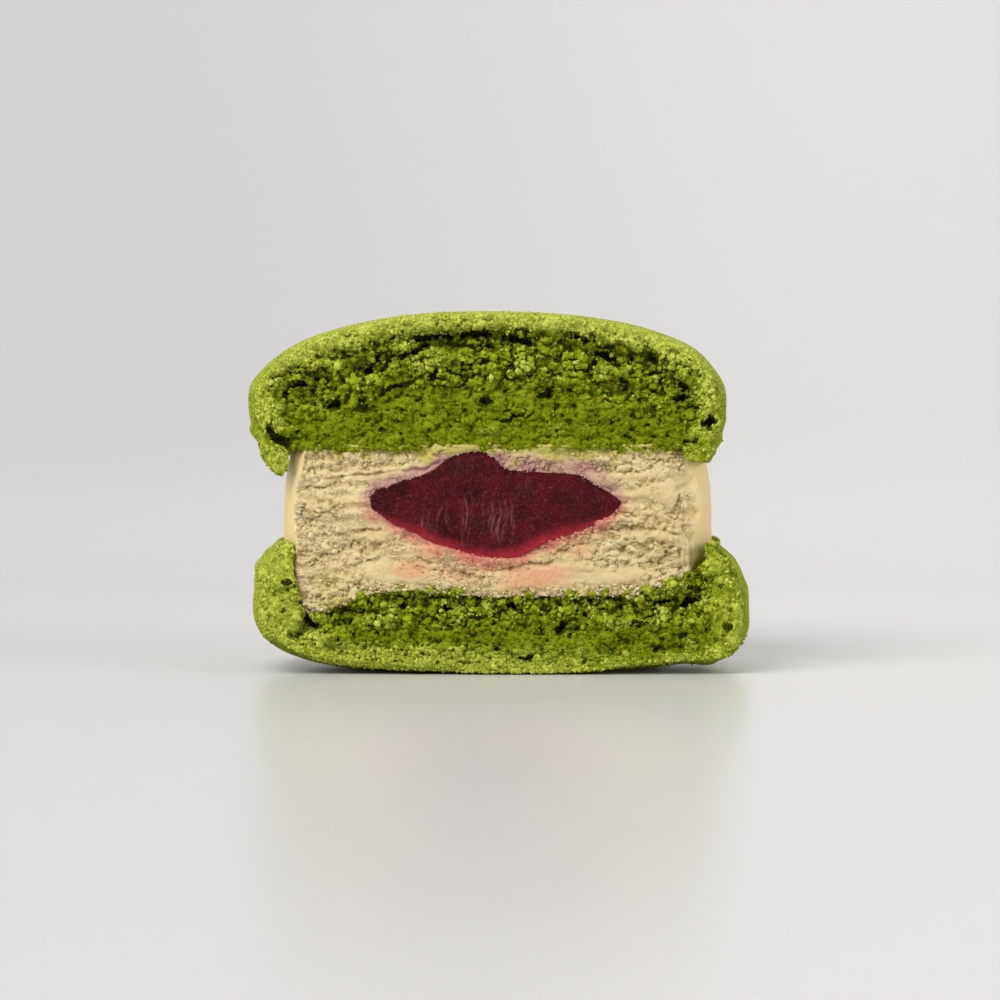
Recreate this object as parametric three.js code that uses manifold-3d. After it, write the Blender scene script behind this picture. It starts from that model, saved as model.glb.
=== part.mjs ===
// A filled macaron cut in two: a domed biscuit lid, a thick layer of buttercream round a fruit jelly heart,
// and a second biscuit turned over as the base. The knife passed a little in front of the centre, so more
// than half of the round is kept and the cut face shows every layer.
//
// Millimetres, +Z up. The cut face looks towards -Y, X runs along it, and the base rests on Z = 0.

import * as THREE from "three";
import { ImprovedNoise } from "three/addons/math/ImprovedNoise.js";
import { mergeVertices } from "three/addons/utils/BufferGeometryUtils.js";
import Module from "manifold-3d";

const wasm = await Module();
wasm.setup();
const noise = new ImprovedNoise();

// ---------------------------------------------------------------- driving dimensions

const HEIGHT = 36.4; // floor to the crown of the lid
const CUT_OFFSET = 8.0; // from the round's axis to the knife cut
const BASE_RADIUS = 25.3; // the base biscuit is the widest piece
const AXIS_Y = (CUT_OFFSET - BASE_RADIUS) / 2; // puts the middle of the depth on Y = 0
const CUT_Y = AXIS_Y - CUT_OFFSET;
const GAP = 0.3; // clearance between pieces that touch
const CRUST = 1.1; // thickness of the firm skin round a biscuit's crumb

const LID = {
  centreX: -1.2, // the lid sits a little to the left
  radius: 24.4,
  bellyZ: 27.4, // height of the widest ring
  crownPower: 2.4, // superellipse exponent of the dome
  undersideZ: 22.7,
  footTopZ: 25.2, // below this the edge is ruffled
  shoulderDrop: 0.75, // the dome's left shoulder is lower than its right one
  flapDrop: 1.6, // the foot hangs lower on the left of the cut, as a torn flap
  hemZ: 21.4, // the foot hangs a little round the cream
  hemInnerRadius: 21.2, // about the cream's own axis
  // The foot's outline below the belly, as [inset from the radius, z], down to the hem.
  foot: [
    [0.05, 26.2],
    [0.4, 25.2],
    [0.5, 24.1],
    [0.95, 23.0],
    [1.5, 22.0],
    [2.0, 21.4],
  ],
};

const BASE = {
  centreX: 0,
  radius: BASE_RADIUS,
  bellyZ: 6.8,
  restRadius: 9, // the flat spot it rests on
  crownPower: 2.5,
  sag: { depth: 1.2, x: 21.8, width: 2.2, fromZ: 1.5, toZ: 6 }, // the domed side hangs lower on the right
  corner: { out: 0.8, fromX: 8, toX: 20, lowZ: 3.2, highZ: 6.5 }, // and its corner is squarer there
  dishZ: 8.3, // floor of the hollow that the cream sits in
  footLowZ: 9.6,
  footTopZ: 13.3, // top of the ruffled rim
  // The foot's outline above the belly, as [inset from the radius, z], up to the rim.
  foot: [
    [0.15, 8.4],
    [0.55, 9.6],
    [0.65, 10.8],
    [1.2, 12.1],
    [2.7, 13.3],
  ],
};

// Where the cream was pressed into the base near the cut, as [how far down, x, width]. Each fades over its
// width, and behind the cut over the reach. Above lowZ the wall follows less and less, up to highZ.
const PRESSED = {
  places: [
    [1.6, -18.6, 4.2],
    [-0.75, -9.5, 4.5],
    [-1.8, 20, 5],
  ],
  reach: 6.3,
  lowZ: 9,
  highZ: 12.5,
};

const CREAM = {
  centreX: -0.2,
  bulgeRadius: 21.8,
  bulgeZ: 16,
  topRadius: 20.7,
  lowRadius: 21.7,
  lowZ: 11,
  bottomRadius: 20.6,
};

const JELLY = {
  radius: 14.7, // the disc of jelly in plan
  centreX: -0.5,
  centreZ: 17.1,
  halfWidth: 12.4, // half of its outline in the cut
  halfHeight: 5.1,
  frontOverrun: 2, // drawn past the cut and then trimmed with it
  tailScale: 0.2, // the last section shrinks to this share
  sides: 38,
  sections: 11,
};

// Outline of the jelly in the cut face, as [x, z], from the left tip over the top.
const JELLY_OUTLINE = [
  [-12.9, 17.4],
  [-10.8, 19.1],
  [-7.0, 20.2],
  [-5.0, 21.3],
  [-2.2, 21.8],
  [0.3, 21.1],
  [2.6, 20.2],
  [7.9, 19.9],
  [11.9, 17.4],
  [9.0, 14.9],
  [5.2, 13.5],
  [2.2, 12.1],
  [-0.8, 11.7],
  [-4.6, 12.6],
  [-9.4, 14.8],
];

// Hollows torn in the crumb, as [x, z, half width, half height, depth, tilt in degrees].
const LID_HOLLOWS = [
  [-2.9, 34.0, 3.0, 0.6, 2.2, 3],
  [1.6, 33.6, 2.4, 0.6, 2.4, -14],
  [-7.4, 33.9, 1.8, 0.5, 1.8, 0],
  [-8.6, 32.3, 2.2, 0.7, 1.8, 28],
  [8.0, 33.4, 2.2, 0.6, 1.6, -8],
  [11.2, 31.6, 2.6, 0.7, 2.0, -12],
  [15.6, 31.7, 1.6, 0.6, 1.5, -20],
  [-20.0, 29.4, 2.4, 0.7, 2.0, 12],
  [-16.9, 31.0, 1.8, 0.6, 1.4, 22],
  [-12.9, 30.3, 0.9, 0.6, 1.4, 0],
  [-8.5, 28.9, 2.8, 0.6, 1.5, 4],
  [-1.3, 27.5, 1.4, 0.7, 1.8, -8],
  [4.6, 28.2, 1.3, 0.8, 1.9, 12],
  [1.2, 26.3, 2.2, 0.4, 1.1, 24],
  [-13.4, 26.6, 1.4, 0.7, 1.6, 0],
  [-17.0, 26.9, 1.0, 0.7, 1.2, 0],
  [12.4, 28.6, 0.9, 0.5, 1.1, 0],
  [17.8, 27.5, 1.9, 0.5, 1.5, 14],
  [20.6, 25.6, 0.8, 0.9, 1.5, 0],
  [-21.4, 23.6, 0.9, 1.2, 1.8, 35],
];

const BASE_HOLLOWS = [
  [-18.8, 5.6, 0.6, 1.9, 2.2, 28],
  [-21.0, 9.4, 1.2, 0.4, 1.2, 4],
  [-7.8, 8.0, 1.3, 0.5, 1.5, -8],
  [-3.6, 7.9, 1.9, 0.5, 1.5, -14],
  [-2.0, 6.3, 0.9, 0.8, 1.6, 0],
  [-0.2, 3.0, 0.6, 0.7, 1.8, 0],
  [2.6, 1.4, 1.9, 0.35, 1.2, 4],
  [6.2, 5.4, 1.4, 0.7, 1.8, 38],
  [8.2, 7.2, 1.3, 0.8, 1.6, 10],
  [-15.3, 5.1, 1.1, 0.5, 1.1, 0],
  [17.0, 7.1, 3.0, 0.55, 1.6, 16],
  [15.9, 3.9, 1.0, 0.6, 1.2, 20],
  [20.8, 3.7, 0.8, 0.7, 1.1, 0],
  [-3.7, 1.9, 0.3, 0.7, 0.9, -30],
];

// Long tears where the knife dragged the cream.
const CREAM_TEARS = [
  [-14.0, 20.3, 6.0, 0.35, 0.8, 3],
  [-14.6, 14.9, 5.4, 0.35, 0.8, 2],
  [-15.5, 18.0, 2.6, 0.4, 0.6, 0],
  [14.4, 20.6, 3.6, 0.35, 0.8, 6],
  [14.6, 14.7, 4.6, 0.3, 0.7, 0],
  [16.0, 11.8, 2.4, 0.6, 0.8, 24],
  [-2.0, 10.1, 6.4, 0.4, 0.7, -3],
  [18.9, 17.8, 0.5, 2.2, 0.7, 0],
];

const FACE_CELL = { crumb: 0.86, cream: 1.3, jelly: 1.8 }; // grid pitch of the relief on the cut
const TURNS = 84; // sides of a full ring

// ---------------------------------------------------------------- shaping helpers

// Smooth noise that repeats every time, near -1 to 1.
const ripple = (x, y, z = 0) => noise.noise(x + 31.7, y + 17.3, z + 5.9);

const ramp = THREE.MathUtils.smoothstep;

// A closed three.js geometry as a manifold solid.
function solidOf(geometry) {
  const bare = new THREE.BufferGeometry();
  bare.setAttribute("position", geometry.getAttribute("position"));
  if (geometry.index) bare.setIndex(geometry.index);
  const merged = mergeVertices(bare, 1e-4);
  const index = merged.index.array;
  const faces = [];
  for (let i = 0; i < index.length; i += 3) {
    const [a, b, c] = [index[i], index[i + 1], index[i + 2]];
    if (a !== b && b !== c && c !== a) faces.push(a, b, c);
  }
  return new wasm.Manifold(
    new wasm.Mesh({
      numProp: 3,
      vertProperties: merged.attributes.position.array,
      triVerts: new Uint32Array(faces),
    }),
  );
}

function geometryOf(solid) {
  const mesh = solid.getMesh();
  const geometry = new THREE.BufferGeometry();
  geometry.setAttribute("position", new THREE.BufferAttribute(mesh.vertProperties, 3));
  geometry.setIndex(new THREE.BufferAttribute(mesh.triVerts, 1));
  geometry.computeVertexNormals();
  return geometry;
}

// Moves every vertex of a geometry by a rule that takes and changes a Vector3.
function shape(geometry, rule) {
  const position = geometry.getAttribute("position");
  const point = new THREE.Vector3();
  for (let i = 0; i < position.count; i++) {
    point.fromBufferAttribute(position, i);
    rule(point);
    position.setXYZ(i, point.x, point.y, point.z);
  }
  return geometry;
}

// Turns a profile of [radius, z] pairs about the vertical axis, and lets a rule make it uneven.
function turned(profile, centreX, unevenness) {
  const points = profile.map(([radius, z]) => new THREE.Vector2(radius, z));
  const lathe = new THREE.LatheGeometry(points, TURNS);
  lathe.rotateX(Math.PI / 2);
  shape(lathe, (point) => {
    const radius = Math.hypot(point.x, point.y);
    if (radius > 1e-6) unevenness(point, radius, Math.atan2(point.y, point.x));
    point.x += centreX;
    point.y += AXIS_Y;
  });
  return solidOf(lathe);
}

// Scales a point's distance from the axis so that it lies at the radius asked for.
function setRadius(point, from, to) {
  point.x *= to / from;
  point.y *= to / from;
}

// Points of a quarter superellipse from the crown (inner radius) to the belly (outer radius).
function domeArc(innerRadius, outerRadius, crownZ, bellyZ, power, steps) {
  return Array.from({ length: steps + 1 }, (_, i) => {
    const angle = (i / steps) * (Math.PI / 2);
    const out = Math.sin(angle) ** (2 / power);
    const up = Math.cos(angle) ** (2 / power);
    return [innerRadius + (outerRadius - innerRadius) * out, bellyZ + (crownZ - bellyZ) * up];
  });
}

// Depth of a list of hollows at a point of the cut face.
function hollowDepth(hollows, x, z) {
  let depth = 0;
  for (const [cx, cz, halfWidth, halfHeight, deep, tilt] of hollows) {
    const turn = THREE.MathUtils.degToRad(tilt);
    const along = (x - cx) * Math.cos(turn) + (z - cz) * Math.sin(turn);
    const across = (z - cz) * Math.cos(turn) - (x - cx) * Math.sin(turn);
    const reach = (along / halfWidth) ** 2 + (across / halfHeight) ** 2;
    depth = Math.max(depth, deep * Math.exp(-0.5 * reach * reach));
  }
  return depth;
}

// The knife's waste: everything in front of the cut, with a relief on the side that meets the food.
// relief(x, z) is how far the face lies behind the plane of the cut.
function knifeCut(lowZ, highZ, cell, relief) {
  const halfWidth = BASE.radius + 2;
  const margin = 1.5;
  const depth = 20;
  const columns = Math.round((2 * halfWidth) / cell);
  const rows = Math.round((highZ - lowZ + 2 * margin) / cell);
  const box = new THREE.BoxGeometry(2 * halfWidth, depth, highZ - lowZ + 2 * margin, columns, 1, rows);
  box.translate(0, CUT_Y - depth / 2, (lowZ + highZ) / 2);
  const back = CUT_Y - 1e-3;
  shape(box, (point) => {
    if (point.y > back) point.y += relief(point.x, point.z);
  });
  return solidOf(box);
}

// ---------------------------------------------------------------- the biscuits

// Coarse crumb: lumps drawn out sideways, with finer crags on them.
function crumbRelief(x, z) {
  const lumps = ripple(x / 3.4, z / 1.7, 2) * 0.5;
  const crags = ripple(x / 1.5, z / 1.0, 9) * 0.35;
  return 0.25 + lumps + crags;
}

// Half the width of the cut through a ring of this radius.
const halfChord = (radius) => Math.sqrt(radius ** 2 - CUT_OFFSET ** 2);

// Fades the relief out towards the outer skin, where the crust is firm and cuts clean.
const awayFromSkin = (inside) => ramp(inside, CRUST / 3, CRUST * 2);

function lidRelief(x, z) {
  const sideways = Math.abs(x - LID.centreX) / halfChord(LID.radius);
  const rise = Math.max(0, 1 - sideways ** LID.crownPower) ** (1 / LID.crownPower);
  const crown = LID.bellyZ + (HEIGHT - LID.bellyZ) * rise;
  const inside = z < LID.bellyZ ? (1 - sideways) * LID.radius : crown - z;
  return awayFromSkin(inside) * crumbRelief(x, z) + hollowDepth(LID_HOLLOWS, x, z);
}

function baseRelief(x, z) {
  const sideways = Math.abs(x - BASE.centreX) / halfChord(BASE.radius);
  const inside = Math.min((1 - sideways) * BASE.radius, z);
  return awayFromSkin(inside) * crumbRelief(x, z + HEIGHT) + hollowDepth(BASE_HOLLOWS, x, z);
}

// The ruffle of a biscuit's foot at one angle: it stands in and out and its hem goes up and down.
function ruffle(angle, z) {
  const round = [Math.cos(angle) * 6.2, Math.sin(angle) * 6.2];
  return {
    out: ripple(round[0], round[1], z * 0.9) * 0.75,
    hem: ripple(round[0] * 1.4, round[1] * 1.4, 40) * 0.8,
  };
}

// How much lower the lid's foot hangs at one angle.
function flapDrop(angle) {
  const leftOfCut = Math.PI + Math.asin(CUT_OFFSET / LID.radius);
  const away = Math.abs(THREE.MathUtils.euclideanModulo(angle, 2 * Math.PI) - leftOfCut);
  return LID.flapDrop * (1 - ramp(away, 0, 0.35));
}

// How much lower the dome is on its left shoulder.
const shoulderDrop = (x, z) => LID.shoulderDrop * ramp(-x, 2, 24) * ramp(z, LID.bellyZ, LID.bellyZ + 4);

function makeLid() {
  const profile = [
    ...domeArc(0, LID.radius, HEIGHT, LID.bellyZ, LID.crownPower, 10),
    ...LID.foot.map(([inset, z]) => [LID.radius - inset, z]),
    [LID.hemInnerRadius, LID.hemZ + 0.3],
    [LID.hemInnerRadius - 0.1, LID.undersideZ],
    [12, LID.undersideZ],
    [0, LID.undersideZ],
  ];
  const body = turned(profile.reverse(), LID.centreX, (point, radius, angle) => {
    const onFoot = 1 - ramp(point.z, LID.footTopZ - 0.4, LID.footTopZ + 1);
    const outside = ramp(radius, LID.hemInnerRadius + 0.2, LID.hemInnerRadius + 1);
    const { out, hem } = ruffle(angle, point.z);
    const swell = ripple(point.x / 11, point.y / 11, 3) * 0.25;
    setRadius(point, radius, radius + outside * (onFoot * out + swell));
    const hanging = outside * (1 - ramp(point.z, LID.undersideZ - 0.9, LID.footTopZ));
    point.z += hanging * (hem * 0.5 - flapDrop(angle)) - shoulderDrop(point.x, point.z);
    if (outside === 0 && point.z < LID.undersideZ + 0.1) point.x += CREAM.centreX - LID.centreX;
  });
  return body.subtract(knifeCut(LID.hemZ - 2, HEIGHT, FACE_CELL.crumb, lidRelief));
}

// A bell-shaped weight: 1 at no offset, fading out over the width.
const bell = (offset, width) => Math.exp(-((offset / width) ** 2));

// How far down the cream and the dish under it were pressed, at a point about the round's own axis.
function pressedIn({ x, y, z }) {
  const down = PRESSED.places.reduce((sum, [depth, at, width]) => sum + depth * bell(x - at, width), 0);
  return down * bell(y + AXIS_Y - CUT_Y, PRESSED.reach) * (1 - ramp(z, PRESSED.lowZ, PRESSED.highZ));
}

// How much lower the base's domed side hangs on the right, and how much farther out its corner stands.
const sagAt = (x, z) =>
  BASE.sag.depth * bell(x - BASE.sag.x, BASE.sag.width) * (1 - ramp(z, BASE.sag.fromZ, BASE.sag.toZ));
const cornerAt = (x, z) => {
  const { out, fromX, toX, lowZ, highZ } = BASE.corner;
  return out * ramp(x, fromX, toX) * (1 - ramp(z, lowZ, highZ));
};

function creamRadiusAt(z) {
  if (z >= CREAM.bulgeZ) {
    const t = (z - CREAM.bulgeZ) / (LID.undersideZ - CREAM.bulgeZ);
    return CREAM.bulgeRadius - (CREAM.bulgeRadius - CREAM.topRadius) * t * t;
  }
  const t = (CREAM.bulgeZ - z) / (CREAM.bulgeZ - CREAM.lowZ);
  return CREAM.bulgeRadius - (CREAM.bulgeRadius - CREAM.lowRadius) * t * t;
}

function makeBase() {
  const inner = (z) => [creamRadiusAt(z) + GAP + 0.15, z];
  const outer = domeArc(BASE.restRadius, BASE.radius, 0, BASE.bellyZ, BASE.crownPower, 9);
  const profile = [
    [0, 0],
    ...outer,
    ...BASE.foot.map(([inset, z]) => [BASE.radius - inset, z]),
    inner(BASE.footTopZ - 0.2),
    inner(CREAM.lowZ),
    [CREAM.bottomRadius + GAP + 0.5, BASE.dishZ + 0.5],
    [CREAM.bottomRadius - 0.8, BASE.dishZ],
    [14, BASE.dishZ],
    [8, BASE.dishZ],
    [0, BASE.dishZ],
  ];
  const innerRadius = creamRadiusAt(BASE.footTopZ) + 2 * GAP;
  const body = turned(profile, BASE.centreX, (point, radius, angle) => {
    const rim = ramp(point.z, BASE.footLowZ - 1.2, BASE.footLowZ + 0.4);
    const outside = ramp(radius, innerRadius, innerRadius + 1);
    const { out, hem } = ruffle(angle + 2, point.z);
    const swell = ripple(point.x / 11, point.y / 11, 13) * 0.25 * ramp(point.z, 0.5, 5);
    const corner = cornerAt(point.x, point.z);
    setRadius(point, radius, radius + outside * (rim * (out * 0.8 - 0.15) + swell + corner));
    point.z += ramp(point.z, BASE.footTopZ - 1.2, BASE.footTopZ) * outside * hem - sagAt(point.x, point.z);
    if (point.z > BASE.dishZ - 0.5 && radius < innerRadius) point.z -= pressedIn(point);
    if (outside === 0 && point.z > BASE.bellyZ - 1) point.x += CREAM.centreX - BASE.centreX;
  });
  return body.subtract(knifeCut(0, BASE.footTopZ + 1, FACE_CELL.crumb, baseRelief));
}

// ---------------------------------------------------------------- the filling

// Rough cream: soft lumps, and the tears that the knife left.
function creamRelief(x, z) {
  const lumps = ripple(x / 3.0, z / 1.6, 21) * 0.28 + ripple(x / 1.3, z / 0.9, 27) * 0.12;
  return 0.12 + lumps + hollowDepth(CREAM_TEARS, x, z);
}

const jellyRelief = (x, z) => 0.3 + ripple(x / 1.8, z / 5, 33) * 0.18;

// The jelly's outline in the cut, drawn back through the round as a disc would be. grow makes it larger.
function jellyBody(grow) {
  const closed = [...JELLY_OUTLINE, JELLY_OUTLINE[0]];
  const points = closed.map(([x, z]) => new THREE.Vector2(x - JELLY.centreX, z - JELLY.centreZ));
  const outline = new THREE.SplineCurve(points).getSpacedPoints(JELLY.sides);
  const section = new THREE.Shape(outline.slice(0, -1));
  const depth = JELLY.frontOverrun + CUT_OFFSET + JELLY.radius + grow;
  const body = new THREE.ExtrudeGeometry(section, { depth, steps: JELLY.sections, bevelEnabled: false });
  body.rotateX(Math.PI / 2); // the outline stands upright, and the sweep runs from the back to the cut
  const cutReach = CUT_OFFSET / JELLY.radius;
  shape(body, (point) => {
    const behindCut = point.y + depth - JELLY.frontOverrun;
    const reach = Math.abs(Math.max(behindCut, 0) - CUT_OFFSET) / (JELLY.radius + grow);
    const chord = Math.sqrt(Math.max(0, 1 - reach ** 2) / (1 - cutReach ** 2));
    const wide = Math.max(chord, JELLY.tailScale);
    const tall = Math.min(wide, 1);
    point.x = point.x * wide * (1 + grow / JELLY.halfWidth) + JELLY.centreX;
    point.z = point.z * tall * (1 + grow / JELLY.halfHeight) + JELLY.centreZ;
    point.y = CUT_Y + behindCut;
  });
  return solidOf(body);
}

function makeCream() {
  const side = [22.4, 21, 19.4, 17.8, 16, 14.2, 12.6, 11];
  const bottomZ = BASE.dishZ + GAP;
  const profile = [
    [0, LID.undersideZ - GAP],
    [12, LID.undersideZ - GAP],
    ...side.map((z) => [creamRadiusAt(z), z]),
    [CREAM.bottomRadius + 0.4, bottomZ + 0.9],
    [CREAM.bottomRadius - 0.8, bottomZ],
    [14, bottomZ],
    [8, bottomZ],
    [0, bottomZ],
  ];
  const body = turned(profile.reverse(), CREAM.centreX, (point) => {
    point.z -= pressedIn(point);
  });
  return body
    .subtract(knifeCut(BASE.dishZ - 2.5, LID.undersideZ, FACE_CELL.cream, creamRelief))
    .subtract(jellyBody(GAP));
}

function makeJelly() {
  return jellyBody(0).subtract(knifeCut(11, 22.5, FACE_CELL.jelly, jellyRelief));
}

// ---------------------------------------------------------------- assembly

const BISCUIT = { color: 0x8a9a26, roughness: 0.95, metalness: 0 };
const FINISHES = {
  lid: BISCUIT,
  base: BISCUIT,
  cream: { color: 0xdcc38c, roughness: 0.7, metalness: 0 },
  jelly: { color: 0x52161c, roughness: 0.35, metalness: 0 },
};
const MAKERS = { lid: makeLid, base: makeBase, cream: makeCream, jelly: makeJelly };

const macaron = new THREE.Group();
for (const [name, make] of Object.entries(MAKERS)) {
  const piece = new THREE.Mesh(geometryOf(make()), new THREE.MeshStandardMaterial(FINISHES[name]));
  piece.name = name;
  macaron.add(piece);
}

export default macaron;
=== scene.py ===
"""A filled macaron that was cut open: two almond biscuits, thick buttercream and a fruit jelly heart.

Every piece is modelled in millimetres, in the frame's own axes, and brought to metres when it is finished.
The cut face looks towards -Y, X runs along it, and the base biscuit rests on Z = 0.
"""

import logging
import math
from dataclasses import dataclass, field
from enum import Enum
from typing import NamedTuple, Sequence

import bpy
import numpy as np
from mathutils import Matrix, Vector


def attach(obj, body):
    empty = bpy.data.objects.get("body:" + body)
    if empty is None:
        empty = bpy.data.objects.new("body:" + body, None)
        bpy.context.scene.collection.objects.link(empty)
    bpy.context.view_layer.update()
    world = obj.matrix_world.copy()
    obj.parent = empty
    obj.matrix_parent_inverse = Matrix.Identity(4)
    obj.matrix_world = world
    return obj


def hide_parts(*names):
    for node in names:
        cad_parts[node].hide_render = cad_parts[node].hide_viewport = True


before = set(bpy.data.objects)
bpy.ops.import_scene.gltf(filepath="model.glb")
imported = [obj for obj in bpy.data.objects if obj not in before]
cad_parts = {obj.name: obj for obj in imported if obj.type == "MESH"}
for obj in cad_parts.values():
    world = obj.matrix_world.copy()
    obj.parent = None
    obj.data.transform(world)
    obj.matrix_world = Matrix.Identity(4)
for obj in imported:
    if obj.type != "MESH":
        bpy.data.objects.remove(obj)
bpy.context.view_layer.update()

log = logging.getLogger("macaron")

MM = 0.001  # metres in a millimetre
CUT_OFFSET = 8.0  # from the round's axis to the knife cut
BASE_RADIUS = 25.3
AXIS_Y = (CUT_OFFSET - BASE_RADIUS) / 2  # so that the cut round lies about the middle of the frame
CUT_Y = AXIS_Y - CUT_OFFSET
HEIGHT = 36.4
ROOT_BODY = "root"

Colour = tuple[float, float, float]  # red, green and blue, linear
Corners = tuple[tuple[float, float], ...]
GRAIN_DENTS = (0.62, 1.25)  # range of a grain's corners, as shares of its half size
LEAST_PLAIN = 0.02  # even the roughest places lose a few triangles


class Patch(NamedTuple):
    """An oval place in the cut.

    It has a centre and half sizes in millimetres, a depth or strength, and a tilt in degrees.
    """

    x: float
    z: float
    half_width: float
    half_height: float
    depth: float = 1.0
    tilt: float = 0.0


class Layer(NamedTuple):
    """One pass of relief.

    It has the texture's kind, the size of its lumps, and how far, where and which way it moves the skin.
    """

    kind: str
    size: float
    strength: float
    group: str
    way: str = "NORMAL"
    octaves: int = 0


# ---------------------------------------------------------------- fields over many points


def ramp(value: np.ndarray, low: float, high: float) -> np.ndarray:
    """Goes smoothly from 0 at low to 1 at high."""
    t = np.clip((value - low) / (high - low), 0.0, 1.0)
    return t * t * (3.0 - 2.0 * t)


def lattice(ix: np.ndarray, iy: np.ndarray, iz: np.ndarray, seed: int) -> np.ndarray:
    """Gives each whole-numbered place its own value from -1 to 1, the same each time."""
    mixed = ix.astype(np.uint32) * np.uint32(73856093)
    mixed ^= iy.astype(np.uint32) * np.uint32(19349663)
    mixed ^= iz.astype(np.uint32) * np.uint32(83492791)
    mixed ^= np.uint32(seed * 2654435 + 97)
    for shift in (15, 12):
        mixed ^= mixed >> np.uint32(shift)
        mixed *= np.uint32(2246822519)
    mixed ^= mixed >> np.uint32(13)
    return mixed.astype(np.float64) / 2147483647.5 - 1.0


def noise(points: np.ndarray, size: Sequence[float] | float, seed: int) -> np.ndarray:
    """Smooth noise from about -1 to 1.

    Args:
        points: places in millimetres, one row each.
        size: distance between its lumps, for all axes or for each.
        seed: picks one noise of many.

    Returns:
        One value for each point.
    """
    scaled = points / np.asarray(size, dtype=float)
    cell = np.floor(scaled)
    part = scaled - cell
    part = part * part * (3.0 - 2.0 * part)
    low = cell.astype(np.int64)
    total = np.zeros(len(points))
    for corner in range(8):
        step = np.array([corner & 1, corner >> 1 & 1, corner >> 2 & 1])
        share = np.prod(np.where(step == 1, part, 1.0 - part), axis=1)
        total += share * lattice(*(low + step).T, seed)
    return total


def cells(points: np.ndarray, size: Sequence[float], seed: int) -> tuple[np.ndarray, np.ndarray]:
    """Splits space into irregular lumps.

    Args:
        points: places in millimetres, one row each.
        size: distance between the lumps along each axis.
        seed: picks one pattern of many.

    Returns:
        How far each point lies from its lump's border, from 0 to about 1, and the lump's own number.
    """
    warp = np.stack([noise(points, 0.55, seed + k) for k in (4, 5, 6)], axis=1) * 0.22
    scaled = (points + warp) / np.asarray(size)
    low = np.floor(scaled).astype(np.int64)
    first = np.full(len(points), 9.0)
    second = first.copy()
    owner = np.zeros(len(points))
    for near in range(27):
        cell = low + (near % 3 - 1, near // 3 % 3 - 1, near // 9 - 1)
        middle = cell + 0.5 + 0.42 * np.stack([lattice(*cell.T, seed + k) for k in range(3)], axis=1)
        reach = np.linalg.norm(middle - scaled, axis=1)
        owner = np.where(reach < first, lattice(*cell.T, seed + 3), owner)
        second = np.minimum(second, np.maximum(first, reach))
        first = np.minimum(first, reach)
    return second - first, 0.5 + 0.5 * owner


def presence(patches: Sequence[Patch], points: np.ndarray, ragged: float = 0.35) -> np.ndarray:
    """How strongly the strongest patch acts on each point.

    Args:
        patches: the oval places.
        points: places in millimetres, one row each.
        ragged: how far the patches' edges wander.

    Returns:
        The patches' depth at their middles, falling to 0 outside them.
    """
    x = points[:, 0] + ragged * noise(points, 0.9, 91)
    z = points[:, 2] + 0.7 * ragged * noise(points, 0.9, 92)
    result = np.zeros(len(points))
    for patch in patches:
        turn = math.radians(patch.tilt)
        along = (x - patch.x) * math.cos(turn) + (z - patch.z) * math.sin(turn)
        across = (z - patch.z) * math.cos(turn) - (x - patch.x) * math.sin(turn)
        reach = (along / patch.half_width) ** 2 + (across / patch.half_height) ** 2
        result = np.maximum(result, patch.depth * np.exp(-0.7 * reach * reach))
    return result


def close_to(place: Patch, points: np.ndarray, spread: float) -> np.ndarray:
    """1 at a patch's centre, falling off round it in the cut."""
    return np.exp(-(((points[:, 0] - place.x) ** 2 + (points[:, 2] - place.z) ** 2) / spread))


# ---------------------------------------------------------------- modelling


def alone(piece: bpy.types.Object) -> None:
    """Makes a piece the only selected and the active object."""
    bpy.ops.object.select_all(action="DESELECT")
    piece.select_set(True)
    bpy.context.view_layer.objects.active = piece


def points_of(piece: bpy.types.Object) -> np.ndarray:
    """The piece's vertices, one row each."""
    flat = np.empty(len(piece.data.vertices) * 3)
    piece.data.vertices.foreach_get("co", flat)
    return flat.reshape(-1, 3)


def move_points(piece: bpy.types.Object, points: np.ndarray) -> None:
    """Puts the piece's vertices at new places."""
    piece.data.vertices.foreach_set("co", points.ravel())
    piece.data.update()


def modify(piece: bpy.types.Object, kind: str, **settings: object) -> None:
    """Adds a modifier with these settings and applies it.

    Args:
        piece: the object to change.
        kind: the modifier's type.
        settings: values for its properties.
    """
    alone(piece)
    modifier = piece.modifiers.new(kind.lower(), kind)
    for name, value in settings.items():
        setattr(modifier, name, value)
    bpy.ops.object.modifier_apply(modifier=modifier.name)


def weigh(piece: bpy.types.Object, name: str, weights: np.ndarray, levels: int = 60) -> None:
    """Fills a vertex group with weights.

    Args:
        piece: the object that gets the group.
        name: the group's name; an older group of this name is replaced.
        weights: one weight from 0 to 1 for each vertex.
        levels: number of steps that the weights are rounded to.
    """
    old = piece.vertex_groups.get(name)
    if old:
        piece.vertex_groups.remove(old)
    group = piece.vertex_groups.new(name=name)
    steps = np.rint(np.clip(weights, 0.0, 1.0) * levels).astype(int)
    for step in range(1, levels + 1):
        members = np.flatnonzero(steps == step)
        if len(members):
            group.add(members.tolist(), step / levels, "REPLACE")


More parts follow.
